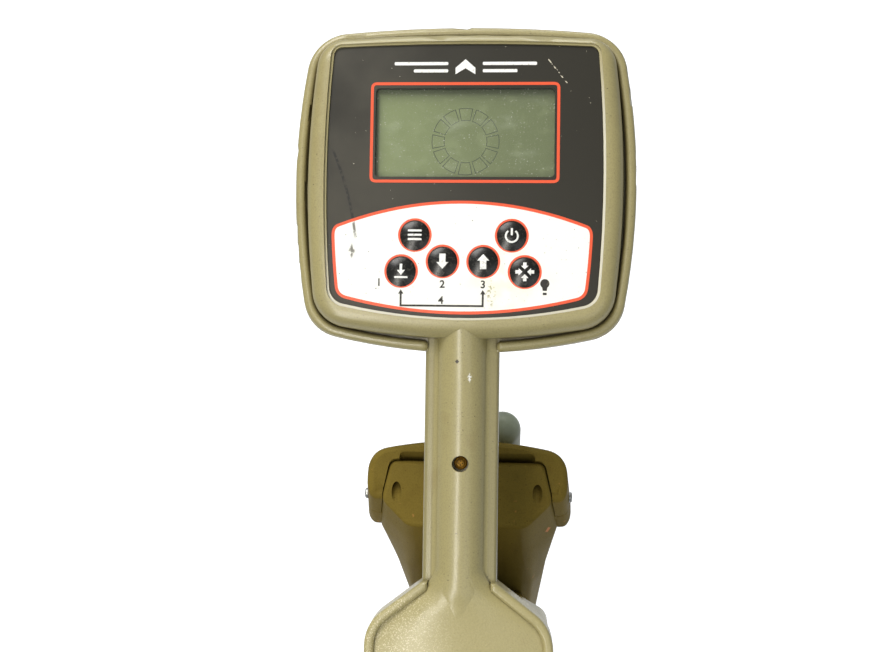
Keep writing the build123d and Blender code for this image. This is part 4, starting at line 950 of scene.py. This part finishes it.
def bar_plan(mast, z, inset=0.0):
    """The cross housing's plan at a height, bowed along its front and drawn in with height."""
    half = mast.bar_half - (z - mast.bar_foot) * mast.bar_draw / 100
    corners = [
        (half, mast.bar_rear),
        (half, mast.bar_front_side),
        (-half, mast.bar_front_side),
        (-half, mast.bar_rear),
    ]
    bow = mast.bar_front - mast.bar_front_side
    return grown(bowed_loop(corners, [0, bow, 0, 0], [6.0, 10.0, 10.0, 6.0], 20), -inset)


def tray_mesh(mast):
    """The cross housing's lower part, with a rounded underside."""
    radius = mast.bar_foot_round
    rings = []
    for a in reversed(QUARTER_TURN):
        z = mast.bar_foot + radius * (1 - math.sin(a))
        rings.append(level_ring(bar_plan(mast, z, radius * (1 - math.cos(a))), z))
    rings.append(level_ring(bar_plan(mast, mast.cap_seam), mast.cap_seam))
    return skinned(rings)


def cap_mesh(mast):
    """The cap over the cross antenna: a groove at its foot, a sloped roof, and room for the tongue."""
    seam, groove = mast.cap_seam, mast.cap_groove
    rings = [level_ring(bar_plan(mast, seam, groove), seam)]
    rings.append(level_ring(bar_plan(mast, seam + groove, groove), seam + groove))
    rings.append(level_ring(bar_plan(mast, seam + groove), seam + groove))
    walls = [(z, bar_plan(mast, z)) for z in (seam, mast.tongue_z)]
    rings += rounded_top(walls, mast.roof_level, mast.roof_round)
    upper = mast_stations(mast)[2:]
    room = [level_ring(grown(loop, mast.tongue_gap), z) for z, loop in upper]
    overlap, slot_corner = 2.0, 2.6
    slot_depth = mast.slot_front - mast.tongue_front + overlap
    slot_centre = (0, mast.slot_front - slot_depth / 2)
    slot_loop = box_loop(2 * mast.slot_half, slot_depth, slot_corner, slot_centre)
    slot = [level_ring(slot_loop, z) for z in (mast.slot_floor, mast.tongue_z)]
    return carved(skinned(rings), [skinned(room), skinned(slot)])


def mast_meshes(mast):
    """The back shell with its tongue and tray, and the front shell, parted along the seam."""
    stations = mast_stations(mast)
    heights = [mast.foot_z + (mast.neck_z - mast.foot_z) * k / 5 for k in range(6)]
    heights += [(mast.neck_z + mast.flare_z) / 2, mast.flare_z]
    rings = [level_ring(between(stations, z), z) for z in heights]
    rings += rounded_top(stations, mast.tongue_level, mast.tongue_round)
    wide, low, high = mast.bar_half * 2, 0.0, mast.bar_foot + mast.bar_foot_round / 2
    seams = [mast.seam + side * mast.seam_gap / 2 for side in (-1, 1)]
    fronts = [block((-wide, seam, low), (wide, wide, high)) for seam in seams]
    outside, sunk = mast.rear - 5.0, mast.rear + mast.screw_sink
    wells = [bored(x, z, mast.screw_well, outside, sunk) for x, z in screw_places("mast_screws")]
    troughs = [
        bored(side * mast.trough_x, mast.trough_z, mast.trough_radius, mast.rear, mast.trough_seat)
        for side in (-1, 1)
    ]
    core = skinned(rings)
    back = carved(carved(core.copy(), [fronts[0], *wells, *troughs]), [tray_mesh(mast)], "UNION")
    front = carved(core, [fronts[1]], "INTERSECT")
    return back, front


def ridge_form(tops, half, falls, floor):
    """A ridge along the grip: the level of its top at places along s, and how its sides fall away."""
    sides = [half * (1 - k / 12) for k in range(25)]
    rings = []
    for s, top in tops:
        ring = [(x, s, top - falls(x, s, top)) for x in sides]
        rings.append(ring + [(-half, s, floor), (half, s, floor)])
    return skinned_on_paddle(rings)


def grip_crown():
    """The grip's ridge in one sweep: up over the groove into the bezel's band, and run out on the pod."""
    flush, radius, half, base, floor = -0.5, 12.4, 11.6, 8.8, -9.6
    band_foot, band_rise, band_run, band_step = -94.0, 2.68, 26.0, 1.06
    pod_end, pod_ease, pod_flatness = -182.0, 5.0, 0.03
    well_radius, crease = 3.9, 50.0
    tops = [(-203.0, -2.9), (-200.0, -2.5), (-197.0, -2.05)]
    tops += [(-194.0, -1.5), (-192.0, -1.05), (-190.0, -0.64)]
    tops += [(s, flush) for s in range(-188, -94, 2)]
    climb = [band_step * k for k in range(26)]
    tops += [(band_foot + run, flush + band_rise * (run / band_run) ** 2) for run in climb]

    def falls(x, s, top):
        drop = radius - math.sqrt(radius**2 - x**2)
        flatter = min(max((pod_end - s) / pod_ease, 0.0), 1.0)
        return (drop + (pod_flatness * x**2 - drop) * flatter) * (1 + max(top - flush, 0.0) / base)

    rim = round_loop(node_centre("grip_screw"), well_radius)
    well = skinned_on_paddle([level_ring(rim, level) for level in (-20.0, 5.0)])
    return smoothed(carved(ridge_form(tops, half, falls, floor), [well]), crease)


def pod_corner(side):
    """Carries the pod's crown into the rim's rear corner, on the right (1) or the left (-1)."""
    floor, top = -9.6, -5.7
    corner = [(31.0, -266.5), (36.5, -266.0), (40.5, -262.0), (40.5, -240.0), (36.0, -240.0)]
    loop = [(side * x, s) for x, s in corner][::side]
    return skinned_on_paddle([level_ring(loop, level) for level in (floor, top)])


def islands(name):
    """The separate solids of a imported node, each as its points in metres."""
    mesh = bmesh.new()
    mesh.from_mesh(nodes[name].data)
    bmesh.ops.remove_doubles(mesh, verts=mesh.verts[:], dist=0.01 * MM)
    left = dict.fromkeys(mesh.verts)
    groups = []
    while left:
        group, queue = [], [left.popitem()[0]]
        while queue:
            vert = queue.pop()
            group.append(vert.co.copy())
            near = [edge.other_vert(vert) for edge in vert.link_edges]
            fresh = [other for other in near if other in left]
            for other in fresh:
                del left[other]
            queue += fresh
        groups.append(group)
    mesh.free()
    return groups


def screw_places(name):
    """Side and height of each screw of a group that points along Y, in millimetres."""
    middles = [sum(group, Vector()) / len(group) for group in islands(name)]
    return [(middle.x / MM, middle.z / MM) for middle in middles]


def screw_heads(name, out):
    """Domed heads with cross recesses, facing one way, one on each screw of a packed group."""
    heads = bmesh.new()
    for group in islands(name):
        top = max(point.dot(out) for point in group)
        rim = [point for point in group if point.dot(out) > top - 0.02 * MM]
        centre = sum(rim, Vector()) / len(rim)
        radius = max((point - centre).length for point in rim) / MM
        mesh = cross_head(radius)
        turn = out.to_track_quat("Z", "X").to_matrix().to_4x4()
        mesh.transform(Matrix.Translation(centre) @ turn)
        heads.from_mesh(mesh)
        bpy.data.meshes.remove(mesh)
    joined = bpy.data.meshes.new(name + "_heads")
    heads.to_mesh(joined)
    heads.free()
    return smoothed(joined)


def cross_head(radius):
    """A domed screw head with a cross recess, on the origin and facing up."""
    rise, arm, reach = radius * 0.34, radius * 0.15, radius * 0.62
    steps = [(1.0, -0.06), (1.0, 0.12), (0.92, 0.45), (0.75, 0.75), (0.45, 0.94), (0.12, 1.0)]
    rings = [level_ring(round_loop((0, 0), radius * r, 32), rise * h) for r, h in steps]
    slots = [block((-a, -b, rise * 0.05), (a, b, rise * 2)) for a, b in ((arm, reach), (reach, arm))]
    return carved(skinned(rings), slots)


class LOCATOR_OT_housings(bpy.types.Operator):
    """Finish the moulded shells of the paddle."""

    bl_idname = "locator.housings"
    bl_label = "Paddle shells"

    def execute(self, context):
        colours = context.scene.locator_colours
        paddle_shells = ["top_shell", "head_back_cover", "grip_lower_shell", "battery_case", "battery_door"]
        plastic = paddle_plastic(colours)
        dress(paddle_shells, plastic, FINE_EDGE)
        add_piece("grip_crown", grip_crown(), plastic)
        for name, side in (("pod_corner_right", 1), ("pod_corner_left", -1)):
            add_piece(name, pod_corner(side), plastic)
        return {"FINISHED"}


class LOCATOR_OT_mast(bpy.types.Operator):
    """Shape the mast's shells and the cap over its cross antenna, and finish them with the foot."""

    bl_idname = "locator.mast"
    bl_label = "Mast"

    def execute(self, context):
        mast = Millimetres(context.scene.locator_mast)
        plastic = mast_plastic(context.scene.locator_colours)
        dress(["strut", "stub_holder", "foot_housing"], plastic, FINE_EDGE)
        back, front = mast_meshes(mast)
        pieces = {"mast_back": (back, "rear_shell"), "mast_front": (front, "front_shell")}
        pieces["cross_cap"] = (cap_mesh(mast), "antenna_cap")
        for name, (mesh, node) in pieces.items():
            piece = add_piece(name, smoothed(mesh), plastic)
            soften(piece, FINE_EDGE)
            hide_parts(node)
        return {"FINISHED"}


class LOCATOR_OT_panel(bpy.types.Operator):
    """Finish the panel and print its outlines, key field and signs."""

    bl_idname = "locator.panel"
    bl_label = "Printed panel"

    def execute(self, context):
        sizes, colours = Millimetres(context.scene.locator_sizes), context.scene.locator_colours
        film = sizes.print_film
        outline_top, ring_top = film * 1.2, film * 1.4
        dress(["panel_sheet"], panel_film(colours))
        orange = outline_print(colours)
        ink = sign_print("dark_ink", colours.dark_ink, tint(120, 112, 92))
        screen = self.screen_loop(sizes)
        self.printed("screen_outline", [screen, grown(screen, -sizes.screen_frame_line)], 0, film, orange)
        field = self.field_loop(sizes)
        inside = grown(field, -sizes.field_line)
        rings = [round_loop(node_centre(key), sizes.key_ring) for key in key_names]
        self.printed("key_field", [inside, *rings], 0, film, field_print(colours))
        self.printed("key_field_outline", [field, inside], 0, outline_top, orange)
        for key, ring in zip(key_names, rings):
            hole = round_loop(node_centre(key), sizes.key_ring_inner)
            self.printed(key + "_ring", [ring, hole], 0, ring_top, orange)
        chalk = sign_print("pale_ink", colours.pale_ink, tint(190, 186, 170))
        self.printed("forward_sign", self.forward_loops(), 0, film, chalk)
        self.field_signs(sizes, film, ink)
        return {"FINISHED"}

    def printed(self, name, loops, low, high, ink):
        """A printed layer on the panel, between two levels."""
        add_piece(name, flat_print(loops, low, high), ink)

    def screen_loop(self, sizes):
        """The outer edge of the line round the screen."""
        line = sizes.screen_frame_line
        width, height = sizes.screen_frame_width + line, sizes.screen_frame_height + line
        return box_loop(width, height, sizes.screen_frame_corner, node_centre("screen_lens"))

    def field_loop(self, sizes):
        """The outer edge of the key field's outline: straight sides between two arcs."""
        top, low = sizes.field_top_half, sizes.field_low_half
        shoulder, foot = sizes.field_shoulder_s, sizes.field_foot_s
        corners = [(low, foot), (top, shoulder), (-top, shoulder), (-low, foot)]
        corners = [(x + sizes.field_shift, s) for x, s in corners]
        side_bow, foot_round, shoulder_round = 0.4, 4.5, 3.0
        bows = [side_bow, sizes.field_top_bow, side_bow, sizes.field_low_bow]
        rounds = [foot_round, shoulder_round, shoulder_round, foot_round]
        return bowed_loop(corners, bows, rounds, 24)

    def field_signs(self, sizes, film, ink):
        """Bracket with two arrows, lamp sign and plain numerals round the keys."""
        low, high = film, film * 2
        self.printed("bracket_sign", [self.bracket()], low, high, ink)
        self.printed("lamp_sign", self.lamp_loops(), low, high, ink)
        numerals = {"1": (-38.6, -47.6), "2": (-9.35, -48.2), "3": (9.35, -48.2), "4": (-9.9, -55.6)}
        for text, place in numerals.items():
            mesh = numeral(text, sizes.sign_height, place, low, high)
            add_piece("numeral_" + text, mesh, ink)

    def lamp_loops(self):
        """A lamp's globe with its neck, and its socket."""
        x, s = 37.6, -47.4
        globe, neck, neck_drop = 2.1, 0.9, 3.3
        socket_height, socket_corner, socket_drop = 1.1, 0.2, 4.7
        swing = [math.radians(a) for a in range(-56, 237, 8)]
        bulb = [(x + globe * math.cos(a), s + globe * math.sin(a)) for a in swing]
        bulb += [(x - neck, s - neck_drop), (x + neck, s - neck_drop)]
        return [bulb, box_loop(2 * neck, socket_height, socket_corner, (x, s - socket_drop))]

    def forward_loops(self):
        """A chevron between two pairs of bars, over the screen."""
        thick, corner = 1.5, 0.5
        loops = [[(-4.6, 49.6), (0, 52.4), (4.6, 49.6), (4.6, 52.6), (0, 56.6), (-4.6, 52.6)]]
        for side in (1, -1):
            loops.append(box_loop(25.0, thick, corner, (side * 20.5, 54.6)))
            loops.append(box_loop(16.0, thick, corner, (side * 16.0, 51.2)))
        return loops

    def bracket(self):
        """The outline of a line that joins two keys, with an arrow at each end."""
        left, right = node_centre("key_depth")[0], node_centre("key_up")[0]
        foot, neck, tip = -58.0, -52.6, -50.6
        bar, head = 0.45, 1.25
        ends = []
        for x in (right, left):
            arrow = [(x + bar, neck), (x + head, neck), (x, tip), (x - head, neck), (x - bar, neck)]
            ends.append(arrow)
        outer = [(left - bar, foot - bar), (right + bar, foot - bar)]
        inner = [(right - bar, foot + bar), (left + bar, foot + bar)]
        return outer + ends[0] + inner + ends[1]


class LOCATOR_OT_keys(bpy.types.Operator):
    """Finish the keys and put a sign on each dome."""

    bl_idname = "locator.keys"
    bl_label = "Keys"

    def execute(self, context):
        sizes, colours = Millimetres(context.scene.locator_sizes), context.scene.locator_colours
        dress(key_names, key_gloss(colours))
        chalk = sign_print("key_ink", tint(240, 240, 234), tint(150, 146, 130))
        for key in key_names:
            loops = key_signs(*node_centre(key))[key]
            mesh = hug_dome(flat_print(loops, 0.0, sizes.print_film * 0.6), key)
            add_piece(key + "_sign", mesh, chalk, body=key)
        return {"FINISHED"}


class LOCATOR_OT_display(bpy.types.Operator):
    """Finish the display and its window, and draw the ring of segments."""

    bl_idname = "locator.display"
    bl_label = "Display"

    def execute(self, context):
        sizes, colours = Millimetres(context.scene.locator_sizes), context.scene.locator_colours
        dress(["lcd_module"], display_face(colours))
        dress(["screen_lens"], window_film())
        ink = sign_print("segment_ink", colours.segment_ink, tint(92, 102, 74))
        levels = [(to_paddle @ v.co).z / MM for v in nodes["lcd_module"].data.vertices]
        rim, rim_step, ink_film = max(levels), 0.1, 0.03
        face = max(level for level in levels if level < rim - rim_step)
        centre, segments = (0.3, 19.0), 12
        inner, outer, inset = sizes.dial_inner, sizes.dial_radius, sizes.dial_line
        middle = (inner + outer) / 2
        gap = math.degrees(sizes.dial_gap / middle) / 2
        turn_in = math.degrees(inset / middle)
        loops = []
        share = 360 / segments
        for k in range(segments):
            start, end = (k + 0.5) * share + gap, (k + 1.5) * share - gap
            loops.append(ring_arc(centre, inner, outer, start, end, 10))
            loops.append(ring_arc(centre, inner + inset, outer - inset, start + turn_in, end - turn_in, 10))
        add_piece("segment_ring", flat_print(loops, face, face + ink_film), ink)
        return {"FINISHED"}


class LOCATOR_OT_fittings(bpy.types.Operator):
    """Finish screws, seals, boards, cells, coils and the antennas."""

    bl_idname = "locator.fittings"
    bl_label = "Fittings"

    def execute(self, context):
        colours = context.scene.locator_colours
        steel = metal("screw_steel", colours.screw_steel, tint(70, 62, 48), 0.34)
        brass = metal("screw_brass", colours.screw_brass, tint(62, 44, 14), 0.4)
        dress(["cap_end_screws", "door_hinge_pin", "battery_contacts"], steel)
        dress(["stub_nut"], brass)
        rearward = Vector((0, -1, 0))
        screws = {
            "head_screws": (-face_dir, steel, "screw_steel"),
            "mast_screws": (rearward, steel, "screw_steel"),
            "tongue_screws": (rearward, steel, "screw_steel"),
            "foot_screws": (Vector((0, 0, -1)), steel, "screw_steel"),
            "grip_screw": (face_dir, brass, "screw_brass"),
        }
        for name, (out, plating, slot) in screws.items():
            dress([name], plating)
            add_piece(name + "_heads", screw_heads(name, out), plating)
        black_fittings = ["key_switches", "beeper", "foot_plate", "door_latch"]
        compounds = {
            "seal_rubber": (tint(40, 39, 37), 0.62, 0.9, ["head_gasket", "door_seal", "foot_sole"]),
            "stub_sheath": (colours.stub_olive, 0.42, 0.7, ["stub_antenna"]),
            "board_mask": (tint(34, 92, 52), 0.4, 1.2, ["display_board", "main_board"]),
            "black_fitting": (tint(34, 34, 33), 0.45, 0.6, black_fittings),
            "cell_sleeve": (tint(92, 94, 102), 0.3, 2.0, ["battery_cells"]),
            "ferrite": (tint(52, 51, 50), 0.5, 0.4, ["upper_antenna_rod", "lower_antenna_rod"]),
        }
        for name, (base, rough, grain, wearers) in compounds.items():
            dress(wearers, plain_compound(name, base, rough, grain))
        dress(["upper_antenna_coil", "lower_antenna_coil"], wound_copper())
        return {"FINISHED"}


class LOCATOR_OT_stage(bpy.types.Operator):
    """Set up the floor, the lights and the camera."""

    bl_idname = "locator.stage"
    bl_label = "Stage"

    def execute(self, context):
        scene = context.scene
        scene.view_settings.view_transform = "Standard"
        self.floor(scene)
        self.daylight(scene)
        lamps = {
            "window_light": ((-0.62, 0.72, 2.2), (0, 0.05, 0.6), (1.0, 1.0), 25, (1.0, 0.98, 0.95)),
            "strip_light": ((-0.36, -0.8, 1.58), (0, -0.05, 0.65), (0.24, 1.1), 8, (1.0, 0.97, 0.9)),
            "front_light": ((0.9, -1.3, 1.9), (0, 0, 0.5), (1.2, 1.2), 4, (0.94, 0.97, 1.0)),
            "back_light": ((-0.1, 1.4, 1.35), (0, 0.12, 0.74), (1.2, 0.4), 6, (0.94, 0.97, 1.0)),
        }
        for name, settings in lamps.items():
            self.lamp(scene, name, *settings)
        self.camera(scene)
        return {"FINISHED"}

    def floor(self, scene):
        """A pale floor that glows a little for the camera alone, so that it stays white."""
        half = 8.0
        corners = [(-half, -half, 0), (half, -half, 0), (half, half, 0), (-half, half, 0)]
        mesh = bpy.data.meshes.new("floor")
        mesh.from_pydata(corners, [], [(0, 1, 2, 3)])
        finish = new_finish("pale_floor")
        seen = finish.node("LightPath", output="Is Camera Ray")
        grain = finish.noise(60, 3.0)
        tone = finish.blend(grain * 0.2, tint(243, 244, 246), tint(236, 238, 242))
        glow = finish.blend(seen, (0, 0, 0), (0.42, 0.425, 0.43))
        mesh.materials.append(
            finish.shade(Base_Color=tone, Roughness=0.7, Emission_Color=glow, Emission_Strength=1.0)
        )
        floor = bpy.data.objects.new("floor", mesh)
        scene.collection.objects.link(floor)

    def daylight(self, scene):
        """An even sky, seen as white by the camera."""
        scene.world = bpy.data.worlds.new("daylight")
        sky = Finish(scene.world, "Background")
        seen = sky.node("LightPath", output="Is Camera Ray")
        sky.shade(Color=(0.9, 0.95, 1.0, 1.0), Strength=0.3 + seen * 0.7)

    def lamp(self, scene, name, place, aim, size, power, tone):
        """A soft lamp; places and sizes in metres, power in watts."""
        light = bpy.data.lights.new(name, "AREA")
        light.shape = "RECTANGLE"
        light.size, light.size_y = size
        light.energy = power
        light.color = tone
        lamp = bpy.data.objects.new(name, light)
        lamp.location = place
        lamp.rotation_euler = (Vector(aim) - Vector(place)).to_track_quat("-Z", "Y").to_euler()
        scene.collection.objects.link(lamp)

    def camera(self, scene):
        """The photograph's view: down on the display, with the grip upright in the picture."""
        place, aim = Vector((0.0220, -0.2063, 1.1552)), Vector((-0.0126, 0.0360, 0.6965))
        roll = math.radians(0.86)
        data = bpy.data.cameras.new("camera")
        data.lens = 46.94
        data.sensor_width = 36.0
        data.clip_start = 0.01
        ahead = (aim - place).normalized()
        right = ahead.cross(grip_dir).normalized()
        upright = Matrix((right, right.cross(ahead), -ahead)).transposed()
        camera = bpy.data.objects.new("camera", data)
        camera.matrix_world = Matrix.Translation(place) @ (upright @ Matrix.Rotation(roll, 3, "Z")).to_4x4()
        scene.collection.objects.link(camera)
        scene.camera = camera


class LOCATOR_PT_sidebar(bpy.types.Panel):
    """Sizes, colours and the steps that dress the locator."""

    bl_idname = "LOCATOR_PT_sidebar"
    bl_label = "Drill tracking locator"
    bl_space_type = "VIEW_3D"
    bl_region_type = "UI"
    bl_category = "Locator"

    def draw(self, context):
        layout = self.layout
        scene = context.scene
        for group in (scene.locator_sizes, scene.locator_mast, scene.locator_colours):
            for name in group.__annotations__:
                layout.prop(group, name)
        for step in steps:
            layout.operator(step.bl_idname)


steps = (
    LOCATOR_OT_housings,
    LOCATOR_OT_mast,
    LOCATOR_OT_panel,
    LOCATOR_OT_keys,
    LOCATOR_OT_display,
    LOCATOR_OT_fittings,
    LOCATOR_OT_stage,
)
groups = {"locator_sizes": LocatorSizes, "locator_mast": MastSizes, "locator_colours": LocatorColours}
classes = (*groups.values(), *steps, LOCATOR_PT_sidebar)


def register():
    """Adds the classes and their settings to Blender."""
    for cls in classes:
        bpy.utils.register_class(cls)
    for name, group in groups.items():
        setattr(bpy.types.Scene, name, bpy.props.PointerProperty(type=group))


def unregister():
    """Takes them out again."""
    for name in groups:
        delattr(bpy.types.Scene, name)
    for cls in reversed(classes):
        bpy.utils.unregister_class(cls)


def main():
    """Registers the add-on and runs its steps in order."""
    register()
    bpy.ops.locator.housings()
    bpy.ops.locator.mast()
    bpy.ops.locator.panel()
    bpy.ops.locator.keys()
    bpy.ops.locator.display()
    bpy.ops.locator.fittings()
    bpy.ops.locator.stage()


if __name__ == "__main__":
    main()
